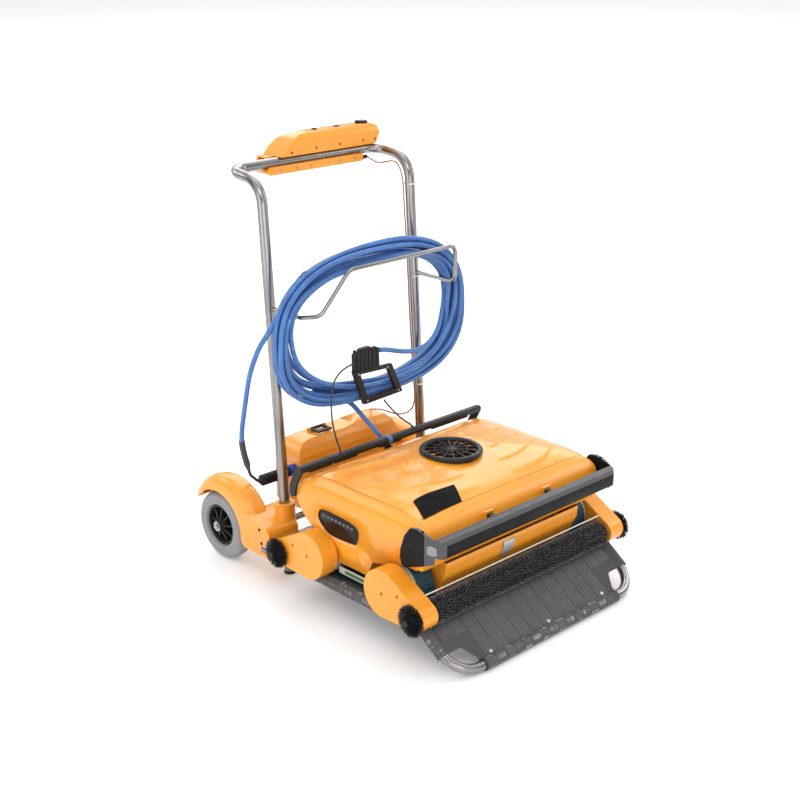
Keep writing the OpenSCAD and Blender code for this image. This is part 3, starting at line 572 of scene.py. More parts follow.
# moulded pieces on the cords
sleeve_path = list(cable_path[-8:-1]) + list(lead_path[1:6])
sleeve = tube("cable_sleeve", sleeve_path, lambda s: (8.8 - 3.6 * min(1.0, max(0.0, s - 0.66) / 0.2)
    + (0.35 if int(s * 24) % 2 else 0)) * MM, "sleeve", "caddy", "cable_black", 18)
ribs = []
for x in range(-262, -200, 8):
    ribs += [(x, 13.6), (x + 1.0, 16.6), (x + 5.0, 16.8), (x + 6.0, 13.8)]
plug = [(-272, 4.6), (-270, 7.0), (-265, 9.5)] + ribs + [(-198, 13.5), (-196, 16.4), (-188, 17.2),
    (-186, 15.8), (-182, 15.8), (-180, 17.2), (-166, 17.2), (-164, 15.5), (-163.4, 4.6)]
connector = lathe("lead_connector", plug, (0, SOCKET_Y, SOCKET_Z), (1, 0, 0), "black", "caddy",
    "cable_black", 36)
tether_knots = Parts()
for q in (left_cord_path[-1], right_cord_path[-1]):
    tether_knots.lathe([(-3, 0), (-2.4, 2.4), (0, 3.6), (2.4, 2.4), (3, 0)], q / MM + Vector((0, 0, 2.2)),
        (0, 0, 1), 12)
tether_knots.build("tether_knots", "lead", "robot", "cable_black")

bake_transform(cable_rise)
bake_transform(left_cord)
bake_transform(right_cord)
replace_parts(float_cable, "float_cable_coil", "float_cable_runs")
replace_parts(supply_lead, "supply_lead")
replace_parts(left_cord, "tether_cords")


# ---------- robot shell
def lerp_table(table, v):
    if v <= table[0][0]:
        return table[0][1]
    for (a, p), (b, q) in zip(table, table[1:]):
        if v <= b:
            return p + (q - p) * (v - a) / (b - a)
    return table[-1][1]


def smooth_line(points):
    """Cuts the corners twice and keeps the two ends."""
    for _ in range(2):
        out = [points[0]]
        for a, b in zip(points, points[1:]):
            out += [(0.78 * a[0] + 0.22 * b[0], 0.78 * a[1] + 0.22 * b[1]),
                (0.22 * a[0] + 0.78 * b[0], 0.22 * a[1] + 0.78 * b[1])]
        points = out + [points[-1]]
    return points


def resample(points, pitch):
    out = [points[0]]
    for a, b in zip(points, points[1:]):
        d = math.dist(a, b)
        n = max(1, round(d / pitch))
        out += [(a[0] + (b[0] - a[0]) * k / n, a[1] + (b[1] - a[1]) * k / n) for k in range(1, n + 1)]
    return out


HULL_X, HULL_CORNER = 345, 13
# outlines: the crown across (x, z), the shell along (y, z), its open under side and its window
crown = [(0, 416), (120, 412), (220, 402), (290, 389), (322, 377), (339, 357), (345, 329)]
over_top = [(-386, 248), (-393, 262), (-399, 290), (-400, 318), (-393, 344), (-374, 366), (-320, 388),
    (-240, 406), (-153.5, 415), (-60, 408), (10, 391), (58, 371), (84, 354), (99, 332), (105, 308),
    (103, 290), (78, 256), (43, 231)]
under_side = [(43, 231), (-36, 206), (-81, 166), (-186, 166), (-207, 211), (-333, 248), (-386, 248)]
window_edge = [(0, 293), (6, 282), (6, 270), (-4, 256), (-31, 238), (-60, 234), (-138, 238), (-148, 246),
    (-155, 276), (-148, 288), (-128, 296), (-46, 300), (-12, 299)]
top_line = resample(smooth_line(over_top), 4.2)
top_normals = []
for i in range(len(top_line)):
    a, b = top_line[max(i - 1, 0)], top_line[min(i + 1, len(top_line) - 1)]
    d = math.dist(a, b)
    top_normals.append((-(b[1] - a[1]) / d, (b[0] - a[0]) / d))


def crown_at(x):
    return lerp_table(crown, abs(x))


def corner_inset(x):
    """How far the shell's outline draws in where it turns into the side."""
    q = min(max((abs(x) - (HULL_X - HULL_CORNER)) / HULL_CORNER, 0.0), 1.0)
    return HULL_CORNER * (1 - math.sqrt(1 - q * q))


LEAF_STEP = 5.6


def emboss(x, y):
    """Overlapping leaf-shaped steps pressed into the crown on both sides of the outlet."""
    ax = abs(x)
    room = step(ax, 52, 84) * (1 - step(ax, 286, 312)) * step(y, -338, -312) * (1 - step(y, 22, 46))
    room *= step(math.hypot(x, y - ROW_MID), 100, 122)
    s = (y + 330 - 0.30 * (ax - 60) + 34 * sin((ax - 40) / 92)) / 66
    f = s - math.floor(s)
    leaf = max(0.0, 1 - abs((ax - 175) / 150) ** 2.4)
    return LEAF_STEP * room * leaf * (1 - f) ** 1.9 * step(f, 0.0, 0.04)


def shell_point(x, i, lift=0.0):
    """Point of the shell at x on row i of its outline, flattened to the crown and with the leaf steps."""
    y, z = top_line[i]
    ny, nz = top_normals[i]
    g = corner_inset(x)
    y, z = y - ny * g, z - nz * g
    k = 0.6 + 8.5 * step(abs(x), 170, 300)
    c = crown_at(x)
    if z > c - 60:
        z = -k * math.log(math.exp(-(z - c) / k) + 1) + c
    if nz > 0.75:
        z += emboss(x, y)
    return mm(x, y + ny * lift, z + nz * lift)


side_steps = [332, 334.5, 337, 339, 341, 342.5, 343.8, 344.6, 345]
half = [4.5 * i for i in range(74)]
stations = [-v for v in reversed(side_steps)] + [-v for v in reversed(half[1:])] + half + side_steps
verts, faces = [], []
rows = len(top_line)
for x in stations:
    verts += [shell_point(x, i) for i in range(rows)]
for a in range(len(stations) - 1):
    for i in range(rows - 1):
        faces.append((a * rows + i, (a + 1) * rows + i, (a + 1) * rows + i + 1, a * rows + i + 1))
bm = bmesh.new()
made = [bm.verts.new(v) for v in verts]
for f in faces:
    bm.faces.new([made[i] for i in f])
fine_window = resample(smooth_line(window_edge + [window_edge[0]]), 5)[:-1]
for side, a in ((-1, 0), (1, len(stations) - 1)):
    rim = made[a * rows:(a + 1) * rows]
    low = [bm.verts.new(mm(side * HULL_X, y, z)) for y, z in resample(under_side, 12)[1:-1]]
    hole = [bm.verts.new(mm(side * HULL_X, y, z)) for y, z in fine_window]
    edges = []
    for ring in (rim + low, hole):
        for p, q in zip(ring, ring[1:] + ring[:1]):
            edges.append(bm.edges.get((p, q)) or bm.edges.new((p, q)))
    bmesh.ops.triangle_fill(bm, use_beauty=True, use_dissolve=False, edges=edges)
bmesh.ops.remove_doubles(bm, verts=bm.verts, dist=2e-5)
bmesh.ops.recalc_face_normals(bm, faces=bm.faces)
me = bpy.data.meshes.new("hull_shell")
bm.to_mesh(me)
bm.free()
hull = finish_mesh(me, "hull_shell", ["orange"], "robot", 42)
top_face = max(me.polygons, key=lambda p: p.center.z)
if top_face.normal.z < 0:
    me.flip_normals()
solid = hull.modifiers.new("wall", "SOLIDIFY")
solid.thickness = 3.5 * MM
solid.offset = -1
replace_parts(hull, "hull_cover")


def on_shell(x, y, lift):
    """Point of the shell's top at (x, y), raised by lift."""
    i = min(range(rows), key=lambda j: abs(top_line[j][0] - y) + (50 if top_normals[j][1] < 0.3 else 0))
    j = min(max(i + (1 if y > top_line[i][0] else -1), 0), rows - 1)
    a, b = shell_point(x, i, lift), shell_point(x, j, lift)
    t = 0 if abs(b.y - a.y) < 1e-9 else min(max((y * MM - a.y) / (b.y - a.y), 0.0), 1.0)
    return a + (b - a) * t


# seam where the lid meets the side, a plain dark plate, and the moulded line above the front edge
seams = Parts()
for side in (-1, 1):
    for path in ([on_shell(side * (317 + 5 * step(y, -330, -374)), y, 0.15) for y in range(-372, 72, 8)],
            [on_shell(side * x, -352, 0.15) for x in range(0, 316, 9)]):
        seams.add(*tube_data(path, 0.75 * MM, 6))
seams.build("shell_seams", "orange_seam", "robot", "orange_shell")
plate_corners = [(-275, -287), (-132, -293), (-162, -352), (-305, -357)]
plate = Parts()
nu, nv = 14, 7
grid = []
for lift in (1.8, 2.7):
    for j in range(nv + 1):
        for i in range(nu + 1):
            u, v = i / nu, j / nv
            x, y = ((1 - v) * ((1 - u) * a + u * b) + v * ((1 - u) * d + u * c)
                for a, b, c, d in zip(*plate_corners))
            grid.append(on_shell(x, y, lift))
w = nu + 1
n = w * (nv + 1)
pf = [(q, q + w, q + w + 1, q + 1) for q in (n + j * w + i for j in range(nv) for i in range(nu))]
edge = [*range(w)] + [j * w + nu for j in range(1, nv + 1)]
edge += [nv * w + i for i in range(nu - 1, -1, -1)] + [j * w for j in range(nv - 1, 0, -1)]
pf += [(a, b, n + b, n + a) for a, b in zip(edge, edge[1:] + edge[:1])]
plate.add(grid, pf)
plate.build("plain_plate", "sticker", "robot", "black_plastic")

refine("hull_base", "orange", "robot", 2.5, 3)
refine("bottom_plate", "black", "robot", 1.0)
for arm in ("front_left_arm", "front_right_arm", "rear_left_arm", "rear_right_arm"):
    refine(arm, "orange", "robot", 5.0, 4)

# windows: smoked panel, black gasket and a row of slats
panes = Parts()
gaskets = Parts()
for side in (-1, 1):
    ring = [mm(side * (HULL_X - 1.2), y, z) for y, z in fine_window]
    gaskets.add(*tube_data(ring + ring[:2], 2.1 * MM, 8))
    c = sum(ring, Vector()) / len(ring)
    inner = [c + (q - c) * 0.985 for q in ring]
    deep = [q - mm(side * 3.4, 0, 0) for q in inner]
    crowned = [c + (q - c) * 0.86 + mm(side * 0.9, 0, 0) for q in ring]
    m = len(ring)
    fs = [(i, (i + 1) % m, 2 * m + (i + 1) % m, 2 * m + i) for i in range(m)] + [tuple(range(2 * m, 3 * m))]
    fs += [(m + i, m + (i + 1) % m, (i + 1) % m, i) for i in range(m)] + [tuple(range(2 * m - 1, m - 1, -1))]
    if side > 0:
        fs = [tuple(reversed(q)) for q in fs]
    panes.add([q - mm(side * 1.0, 0, 0) for q in inner] + deep + crowned, fs)
    for i in range(8):
        y, z = -132 + 15.6 * i, 276 + 0.5 * i
        gaskets.prism([(y, z), (y + 9, z + 0.5), (y + 9, z + 8), (y, z + 7.5)], side * HULL_X - 0.5,
            side * HULL_X + 0.5, "x", 1)
windows = panes.build("smoked_windows", "smoke", "robot", "smoked_window", 30)
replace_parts(windows, "side_windows")
gaskets.build("window_gaskets", ["black", "slat_grey"], "robot", "black_plastic", 40)

# round outlet with its blades, and the dark throat under it
grille = Parts()
for ring, sides in (
        ([(404, 81), (404, 72), (412, 70), (419, 70.5), (423.4, 74), (424, 79), (423, 84), (420, 87.4),
            (416.6, 88), (416.4, 81.5)], 72),
        ([(409, 0), (409, 19), (416, 20), (420.5, 17), (422.6, 10), (423.2, 0)], 40),
        ([(412, 43), (412, 46.5), (420.6, 46.5), (421, 45), (420.6, 43.4)], 56),
        ([(404.2, 71.6), (404.2, 68.8), (340, 66.5), (340, 68), (402.6, 70.6), (402.6, 71.6)], 48),
        ([(340, 67), (340, 44), (338.5, 44), (338.5, 67)], 48)):
    grille.lathe(ring, (0, ROW_MID, 0), (0, 0, 1), sides)
for k in range(14):
    turn = turned((0, ROW_MID, 0), TAU * k / 14, "Z")
    blade = [(17, 411), (72.5, 411), (72.5, 418.5), (60, 421.0), (45, 422.0), (17, 422.2)]
    grille.prism(blade, -1.9, 1.9, "y", 0, turn)
grille = grille.build("outlet_ring", "black", "robot", "black_plastic", 40)
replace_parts(grille, "outlet_grille")
cad("impeller", "black")
cad("pump_motor", "motor")
cad("drive_motors", "motor")
cad("filter_cartridge", "cloth")

# handles, struts, and the screws and plates on them
# front handle: black end caps, and its front and under faces take the same black as painted shade against the
# charcoal of its top
refine("front_handle", ["charcoal", "cap_and_painted_shade_black"], "robot", 3.2, 3,
    pick=lambda n: 1 if abs(n.x) > 0.97 or (n.z < 0.2 and n.y < -0.8) or n.z < -0.3 else 0)
refine("front_struts", "black", "robot", 2.5, 3)
refine("rear_handle", "black", "robot", 2.2, 3)
refine("robot_gland", "black", "robot", 1.2, 2)
cad("brush_guards", "white")
trim = Parts()
for side in (-1, 1):
    hexagon = [(-15, 316), (-2, 311), (13, 315), (14, 333), (2, 339), (-13, 335)]
    along_face = Vector((side * 14, 40, 0)).normalized()
    outward = Vector((side * 40, -14, 0)).normalized()
    chamfer = Matrix(((along_face.x, outward.x, 0, side * 349.3 * MM),
        (along_face.y, outward.y, 0, -430 * MM),
        (0, 0, 1, 0), (0, 0, 0, 1)))
    trim.prism(hexagon, -0.4, 1.5, "y", 1, chamfer)
    for at, axis, r in (((side * 351, -398, 367.5), (0, 0.12, 1), 4.2),
            ((side * 357, -352, 300), (side, 0, 0), 3.6)):
        trim.lathe(screw(-3, r, 1.2, 2.0, 1.0, 1.8, 0.6), at, axis, 16)
    for y, z in ((ROW_MID - 147, 176), (ROW_MID + 147, 176), (ROW_MID - 205, 190), (ROW_MID + 205, 190)):
        trim.lathe(screw(-4, 4.4, 0.5, 0.9, 0.8, 2.1, -1.2), (side * 400.6, y, z), (side, 0, 0), 18)
trim.build("robot_trim", ["black", "grey_plate"], "robot", "black_plastic", 35)
clip = Parts()
clip_line = [(-377, 187), (-380.6, 189), (-388, 204), (-394.5, 216), (-397.8, 231), (-397.4, 237),
    (-394, 240)]
outer = [(a - 1.7, b) for a, b in clip_line]
clip.prism(clip_line + outer[::-1], -47, -4, "x")
round_edges(clip.build("front_clip", "clip_steel", "robot", "stainless", 40), 0.7, 2)
pads = Parts()
for side in (-1, 1):
    pads.prism([(side * 100, 322), (side * 127, 322), (side * 130, 352), (side * 97, 352)], -404.5, -398.5,
        "y")
round_edges(pads.build("strut_pads", "orange", "robot", "orange_shell", 40), 1.6, 3)

# low side rails with their green insert
rails = Parts()
for side in (-1, 1):
    rails.prism([(-240, 130), (-68, 130), (-68, 149), (-240, 149)], side * 337.4 - 1.6, side * 337.4 + 1.6,
        "x", 0)
    rails.prism([(-216, 135), (-92, 135), (-92, 144.5), (-216, 144.5)], side * 339.4 - 0.7,
        side * 339.4 + 0.7, "x", 1)
round_edges(rails.build("side_rails", ["pale_grey", "green"], "robot", "grey_plastic", 40), 0.6, 2)

# blue marker band round the rear handle
band = Parts()
grip = [(66, 380), (84, 380), (88, 386), (88, 392), (83, 397), (69, 397), (64, 391), (64, 385)]
loop = [(76 + (y - 76) * 1.09, 388.5 + (z - 388.5) * 1.12) for y, z in grip]
for wall in zip(grip, grip[1:] + grip[:1], loop[1:] + loop[:1], loop):
    band.prism(wall, -29, -14, "x")
round_edges(band.build("marker_band", "blue", "robot", "cable_blue", 40), 0.4, 2)

# ---------- tracks, pulleys and brushes
PITCH_R, REACH, PULLEY_Z, RIBS = 66.0 - 1.2, 147.0, 176.0, 84
run = 2 * REACH
arc = math.pi * PITCH_R
total = 2 * run + 2 * arc


def belt_point(s, r):
    """(y, z) of the belt at s mm along its loop and r from the pulleys' centres."""
    s %= total
    if s < run:
        return ROW_MID - REACH + s, PULLEY_Z + r
    s -= run
    if s < arc:
        a = math.pi / 2 - s / PITCH_R
        return ROW_MID + REACH + r * cos(a), PULLEY_Z + r * sin(a)
    s -= arc
    if s < run:
        return ROW_MID + REACH - s, PULLEY_Z - r
    s -= run
    a = -math.pi / 2 - s / PITCH_R
    return ROW_MID - REACH + r * cos(a), PULLEY_Z + r * sin(a)


# a groove and a rib of the belt: where each step is, as a share of the pitch, and how high
stops = [((k + share) * (total / RIBS), r) for k in range(RIBS)
    for share, r in ((0.0, 64.9), (0.46, 64.9), (0.56, 66.0), (0.90, 66.0))]
for name, side in (("left_track", -1), ("right_track", 1)):
    belt = Parts()
    x0, x1 = side * 273, side * 333
    vs, fs = [], []
    for s, r in stops:
        for rr in (r, 63.8):
            y, z = belt_point(s, rr)
            vs += [mm(x0, y, z), mm(x1, y, z)]
    m = len(stops)
    for k in range(m):
        a, b = 4 * k, 4 * ((k + 1) % m)
        fs += [(a, a + 1, b + 1, b), (a + 3, a + 2, b + 2, b + 3), (a + 2, a, b, b + 2),
            (a + 1, a + 3, b + 3, b + 1)]
    if side < 0:
        fs = [tuple(reversed(q)) for q in fs]
    belt.add(vs, fs)
    belt = belt.build(name + "_belt", "teal", "robot", "track_rubber", 30)
    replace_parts(belt, name)
for end in ("front", "rear"):
    for word in ("left", "right"):
        refine(f"{end}_{word}_pulley", "pale_grey", f"pulley_{end}_{word}", 1.0, 2)

ROLLER_REACH, ROLLER_Z, TUFTS_ROUND, CORE_R = 265.5, 148, 26, 21.5
STAR_X, STAR_R, STAR_OUT = 410, 45.2, 19.4
for end, body, half_w in ((-1, "front_brush", 341), (1, "rear_brush", 333)):
    by, bz = ROW_MID + end * ROLLER_REACH, ROLLER_Z
    cad(body + "_shaft", "bristle")
    roll = Parts()
    roll.lathe(mirrored([(half_w, 22.5), (half_w, 12)]), (0, by, bz), (1, 0, 0), 28)
    columns = int(2 * (half_w - 6) / 9.6)
    for c in range(columns):
        x = -half_w + 6 + c * 2 * (half_w - 6) / (columns - 1)
        for k in range(TUFTS_ROUND):
            a = TAU * (k + 0.5 * (c % 2)) / TUFTS_ROUND + 0.05 * sin(c * 0.7)
            lean, twist = rng.uniform(-0.7, 0.7), rng.uniform(-0.03, 0.03)
            for _ in range(6):
                b = a + twist + rng.uniform(-0.05, 0.05)
                tip_r = rng.uniform(34.6, 38.2)
                root = mm(x + rng.uniform(-0.9, 0.9), by + CORE_R * cos(a), bz + CORE_R * sin(a))
                tip_x = x + lean + rng.uniform(-2.0, 2.0)
                tip = mm(tip_x, by + tip_r * cos(b), bz + tip_r * sin(b))
                # each roller bristle's paler tip is a painted highlight
                roll.bristle(root, tip, 0.62 * MM, 0.74)
    # a dome-shaped star brush on each end
    for side in (-1, 1):
        hub = [(-1.5, 9), (-1.5, 13), (2, 13), (10, 11), (13, 9)]
        roll.lathe([(side * p, r) for p, r in hub], (side * 403.6, by, bz), (1, 0, 0), 24)
        dome = [(-5, 9), (-5, 21), (2, 21), (6, 14), (7, 9)]
        roll.lathe([(side * p, r) for p, r in dome], (side * STAR_X, by, bz), (1, 0, 0), 24)
        for ring, rise in enumerate((-17, -5, 7, 19, 31, 43, 55, 67, 79)):
            e = radians(rise)
            around = max(6, round(30 * cos(e)))
            for k in range(around):
                a = TAU * (k + 0.5 * (ring % 2)) / around + rng.uniform(-0.04, 0.04)
                for _ in range(3):
                    b, out = a + rng.uniform(-0.06, 0.06), rng.uniform(0.93, 1.0)
                    lift = sin(e + rng.uniform(-0.06, 0.06))
                    reach = STAR_R * out * cos(e)
                    root = mm(side * (408 + 7 * lift), by + 0.36 * reach * cos(a),
                        bz + 0.36 * reach * sin(a))
                    tip = mm(side * max(403.8, STAR_X + STAR_OUT * out * lift), by + reach * cos(b),
                        bz + reach * sin(b))
                    # these tips take the paler star tip material, a painted highlight
                    roll.bristle(root, tip, 1.05 * MM, 0.8, 2)
    node = "front_bristles" if end < 0 else "rear_bristles"
    brush = roll.build(node + "_tufts", ["bristle", "bristle_tip_painted_highlight", "star_tip_painted_highlight"], body, "bristle", 60)
    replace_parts(brush, node)


# ---------- caddy frame and mat
for node in ("handle_frame", "cable_hook", "platform_frame", "wheel_axle", "cross_tube"):
    cad(node, "steel")
cad("caddy_fasteners", "bolt")
refine("foot_caps", "black", "caddy", 1.2, 3)
cad("platform_mat", "mat")

RAIL_X, RAIL_Z, FOLD_Y, RAMP_Y, WRAP = 359, 104, -415, -536, 16.8
TRAY, WRAP_PATCH = 109.5, 34
slope = math.atan((RAIL_Z - WRAP) / (FOLD_Y - RAMP_Y))
ramp_frame = turned((0, FOLD_Y, RAIL_Z), slope, "X")
flat_frame = Matrix.Translation(mm(0, 0, TRAY))
tread = Parts()


def bar_group(centre, across, frame_matrix, height, size):
    """Seven raised bars in one square cell, lying across or along the mat."""
    up = (frame_matrix.to_3x3() @ Vector((0, 0, 1))).normalized()
    hw, hl = size / 7 * 0.24, size * 0.48
    for k in range(7):
        o = (k - 3) * size / 7
        if across:
            c = [(-hl, o - hw), (hl, o - hw), (hl, o + hw), (-hl, o + hw)]
        else:
            c = [(o - hw, -hl), (o + hw, -hl), (o + hw, hl), (o - hw, hl)]
        pts = [frame_matrix @ mm(centre[0] + a, centre[1] + b, height) for a, b in c]
        tread.slab(pts, up, 1.2, 0.6)


# cells on the flat part, then on the ramp, clear of its two corner holes
cell = 45.0
for i in range(-7, 8):
    for j in range(12):
        bar_group((i * cell, -381 + j * cell), (i + j) % 2 == 0, flat_frame, 0.0, cell)
row = 42.0
for i in range(-7, 8):
    for j in range(3):
        x, v = i * cell, -31 - j * row
        if not (abs(x) > 240 and v < -62):
            bar_group((x, v), (i + j) % 2 == 0, ramp_frame, TRAY - RAIL_Z, row)


def wrap_bars(length, place, worn):
    """Short bars round a rolled edge; place maps a distance along it, an angle and a radius to a point.
    worn is the share of bars whose rubber has gone pale."""
    for g in range(int(length / WRAP_PATCH)):
        for h, (lo, hi) in enumerate(((8, 52), (58, 104), (110, 150))):
            patch = worn * rng.choice((0.4, 1.0, 1.6))
            for k in range(6):
                if (g + h) % 2 == 0:
                    a0, s0, s1, cuts = g * WRAP_PATCH + 2.5 + k * 5.1, lo + 3, hi - 3, 4
                    a1 = a0 + 2.4
                else:
                    a0, s0, cuts = g * WRAP_PATCH + 3, lo + 3 + k * (hi - lo - 8) / 5.4, 1
                    a1, s1 = a0 + 28, s0 + (hi - lo) * 0.08
                finish = 1 if cuts > 1 and rng.random() < patch else 0
                for q in range(cuts):
                    b0, b1 = s0 + (s1 - s0) * q / cuts, s0 + (s1 - s0) * (q + 1) / cuts
                    foot = [place(a, b, WRAP) for a, b in ((a0, b0), (a1, b0), (a1, b1), (a0, b1))]
                    tops = [place(a, b, WRAP + 0.5)
                        for a, b in ((a0 + 0.4, b0), (a1 - 0.4, b0), (a1 - 0.4, b1), (a0 + 0.4, b1))]
                    tread.add(foot + tops, PAD_FACES, finish)


def front_wrap(a, s, r):
    t = radians(s + 60)
    return mm(-262 + a, RAMP_Y + r * cos(t), WRAP + r * sin(t))


def side_wrap(side):
    def put(a, s, r):
        t = radians(s - 62)
        return mm(side * (RAIL_X + r * cos(t)), -400 + a, RAIL_Z + r * sin(t))
    return put


def ramp_side_wrap(side):
    def put(a, s, r):
        t = radians(s - 62)
        return ramp_frame @ mm(side * (RAIL_X + r * cos(t)), -90 + a, r * sin(t))
    return put


wrap_bars(524, front_wrap, 0.7)
for side in (-1, 1):
    wrap_bars(540, side_wrap(side), 0.30)
    wrap_bars(72, ramp_side_wrap(side), 0.15)
tread.build("mat_treads", ["tread", "tread_worn"], "caddy", "mat_rubber", 25)

# rivets with their washers on the mat's edge
rivets = Parts()
for side in (-1, 1):
    for y in (-380, -250, -110, 30):
        rivets.lathe([(0.0, 0), (0.0, 7.2), (0.7, 7.2), (0.9, 5.2), (2.0, 3.6), (2.4, 1.6), (2.5, 0)],
            (side * (RAIL_X - 16.5), y, TRAY + 0.9), (0, 0, 1), 18)
rivets.build("mat_rivets", "bolt", "caddy", "stainless", 35)

# ---------- bases and wheels
refine("left_base", "orange", "caddy", 4.5, 3)
refine("right_base", "orange", "caddy", 4.5, 3)
collars = Parts()
for side in (-1, 1):
    foot = Vector((side * 274, 225 + 0.0662 * 212, 212))
    lean_dir = Vector((0, 0.0662, 1)).normalized()
    collars.lathe([(-1, 15.5), (-1, 29), (1.5, 30.5), (5, 30.5), (7, 28.5), (7.4, 19), (5.6, 15.5)], foot,
        lean_dir, 40)
    for z in (120, 160):
        collars.lathe(screw(-3, 4.6, 1.0, 1.8, 1.0, 2.2, 0.2), (side * 368.2, 232 + (z - 120) * 0.2, z),
            (side, 0, 0), 18, 1)
collars.build("upright_collars", ["orange", "black"], "caddy", "orange_shell", 38)

WHEEL_X, WHEEL_Y, WHEEL_Z = 333, 440, 104
tyre_half = [(6, 103.7), (14, 102), (22, 98.5), (27, 93.5), (28.5, 90), (30, 84), (29.8, 72), (29, 66),
    (22, 62)]
axial = Matrix(((0, 0, 1, 0), (1, 0, 0, 0), (0, 1, 0, 0), (0, 0, 0, 1)))
for side, word in ((-1, "left"), (1, "right")):
    body = word + "_wheel"
    hub = (side * WHEEL_X, WHEEL_Y, WHEEL_Z)
    tyre = Parts()
    tyre.lathe(mirrored(tyre_half, (0, 104)), hub, (1, 0, 0), 96)
    for x in (-30.2, 30.2):
        tyre.lathe([(x, 76), (x + (0.5 if x > 0 else -0.5), 77), (x, 78)], hub, (1, 0, 0), 72)
    tyre = tyre.build(word + "_tyre_rubber", "tyre", body, "wheel_rubber", 40)
    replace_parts(tyre, word + "_tyre")
    rim = Parts()
    rim.lathe(mirrored([(4, 51.5), (15, 52.5), (22, 55), (23, 58), (21, 61.7)]), hub, (1, 0, 0), 72)
    rim.lathe([(-32, 10.06), (-32, 17.5), (-28, 19.5), (-10, 21), (10, 21), (26, 19.5), (31, 17.5),
        (31, 10.06)], hub, (1, 0, 0), 40)
    rim.lathe([(-2.5, 20), (-2.5, 53), (2.5, 53), (2.5, 20)], hub, (1, 0, 0), 48)
    for k in range(9):
        turn = turned(hub, TAU * k / 9, "X")
        rim.prism([(18, -25), (52.3, -17), (52.3, 17), (18, 25)], -2.6, 2.6, "x", 0, turn @ axial)
    rim = rim.build(word + "_wheel_rim", "black", body, "black_plastic", 35)
    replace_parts(rim, word + "_rim")

# ---------- power supply
refine("supply_tray", "orange", "caddy", 2.5, 3)
refine("supply_cover", "orange", "caddy", 7.0, 4)
refine("supply_latch", "black", "latch", 1.2, 2)
cad("supply_transformer", "copper")
sock = [(-163, 8)]
for x in (-162, -156, -150):
    sock += [(x, 15.0), (x + 0.8, 17.0), (x + 4.2, 17.0), (x + 5.0, 15.2)]
sock += [(-143, 14.5), (-142, 16.8), (-136, 16.8), (-135.2, 15.5), (-135.2, 8)]
socket = lathe("socket_collar", sock, (0, SOCKET_Y, SOCKET_Z), (1, 0, 0), "blue_cap", "caddy",
    "cable_blue", 36)
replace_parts(socket, "power_socket")
box_bits = Parts()
for x in (-110, -30, 60, 150, 232):
    for y, d in ((335.6, -1), (452.4, 1)):
        box_bits.lathe(screw(-4, 4.2, 0.6, 1.2, 1.0, 1.9, -0.4), (x, y, 156), (0, d, 0), 16)
for side_y in (335.9, 452.1):
    box_bits.prism([(-134, 169.6), (255, 169.6), (255, 170.9), (-134, 170.9)], side_y - 0.25, side_y + 0.25,
        "y")
box_bits.build("supply_screws", "black", "caddy", "black_plastic", 35)
panels = Parts()
for x0, x1 in ((-118, -62), (-52, 36), (60, 104), (150, 214)):
    panels.prism([(x0, 192), (x1, 192), (x1 - 6, 268), (x0 + 6, 268)], 334.1, 337, "y")
round_edges(panels.build("supply_panels", "orange", "caddy", "orange_shell", 40), 1.5, 3)

# ---------- control box
refine("control_box_top", "orange", "caddy", 3.5, 3)
refine("control_box_bottom", "orange", "caddy", 2.2, 3)
refine("control_gland", "black", "caddy", 0.8, 2)
cad("control_cable", "brown")
cad("cable_ties", "white")
KNOB_X, KEY_X, MODE_X, KEYS_Y = 221, 40, 125, 447
knob = Parts()
knob.lathe([(1208, 0), (1208, 4), (1218.2, 4), (1218.6, 17.4), (1220, 19), (1223.6, 18.6), (1224.8, 16.5),
    (1225.6, 15.4), (1225.6, 0)], (KNOB_X, KEYS_Y, 0), (0, 0, 1), 40)
knob.lathe([(1225.2, 0), (1225.2, 12.6), (1226.0, 12.6), (1226.4, 11.4), (1226.4, 0)], (KNOB_X, KEYS_Y, 0),
    (0, 0, 1), 36, 1)
for k in range(20):
    turn = turned((KNOB_X, KEYS_Y, 0), TAU * k / 20, "Z")
    knob.prism([(18, -0.9), (19.5, -0.6), (19.5, 0.6), (18, 0.9)], 1219, 1223.6, "z", 0, turn)
knob = knob.build("speed_knob", ["black", "grey_plate"], "knob", "black_plastic", 35)
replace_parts(knob, "control_knob")
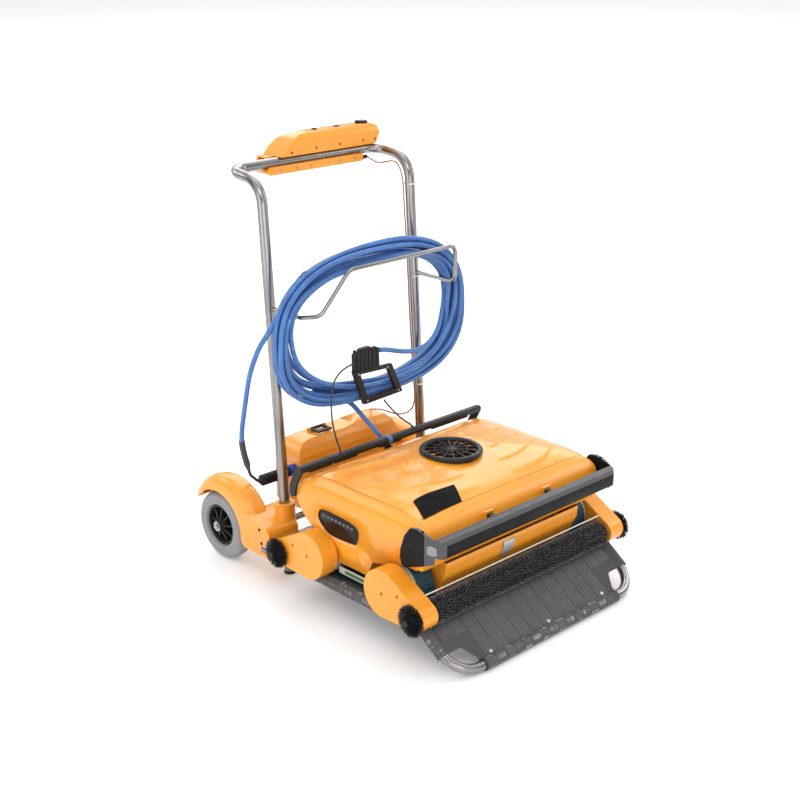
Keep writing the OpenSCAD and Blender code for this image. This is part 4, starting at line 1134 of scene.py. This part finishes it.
for node, x, body, mat, slot in (("power_button", KEY_X, "power_key", "black", "button_dark"),
        ("mode_button", MODE_X, "mode_key", "black_gloss", "black_plastic")):
    key = lathe(node + "_key", [(1207, 0), (1207, 7), (1220.4, 7), (1221.6, 6.2), (1222, 4.4), (1221.6, 2.6),
        (1221.5, 0)], (x, KEYS_Y, 0), (0, 0, 1), mat, body, slot, 32)
    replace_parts(key, node)
control_bits = Parts()
for x in (KEY_X, MODE_X):
    control_bits.lathe([(1217.6, 7.3), (1217.6, 11), (1218.6, 10.6), (1219.2, 9.4), (1219.0, 7.4)],
        (x, KEYS_Y, 0), (0, 0, 1), 32)
for x, z in ((-70, 1168), (20, 1172), (110, 1172), (200, 1172), (246, 1172)):
    control_bits.lathe(screw(-4, 3.4, 0.3, 0.8, 0.8, 1.5, -0.6), (x, 413.8, z), (0, -1, 0), 14)
control_bits.prism([(-146, 1135.6), (200, 1135.6), (200, 1136.6), (-146, 1136.6)], 415.5, 415.95, "y", 1)
control_bits.build("control_bits", ["black", "orange_seam"], "caddy", "black_plastic", 35)

# ---------- cable clamp with its strap frame
clamp = Parts()
clamp.prism([(-116, 601), (-117, 652), (-107, 660), (-40, 656), (-27, 648), (-25, 601)], 105, 122.5, "y")
for i in range(6):
    x = -111 + i * 14.5
    clamp.prism([(x, 606), (x + 8, 606), (x + 8, 663 - i * 0.7), (x, 664 - i * 0.7)], 103.2, 123.4, "y")
clamp.prism([(-98, 636), (-56, 635), (-56, 666), (-62, 668), (-92, 668), (-98, 665)], 106, 120, "y")
for bar in ([(-125, 606), (-104, 606), (-67, 503), (-86, 503)], [(0, 600), (20, 600), (62, 507), (41, 507)]):
    clamp.prism(bar, 102.2, 115.8, "y")
clamp.prism([(-86, 502), (62, 507), (56, 522), (-80, 517)], 102.4, 115.4, "y")
clamp.prism([(-125, 606), (20, 600), (14, 589), (-119, 595)], 103.4, 114.6, "y")
for x, z in ((-107, 596), (3, 592), (-74, 511), (46, 514)):
    clamp.lathe([(-2, 0), (-2, 3.6), (0.4, 3.6), (0.9, 2.8), (0.9, 0)], (x, 102.6, z), (0, -1, 0), 14, 1)
clamp = clamp.build("clamp_frame", ["black", "bolt"], "caddy", "black_plastic", 35)
round_edges(clamp, 1.3, 2)
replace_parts(clamp, "cable_clamp")
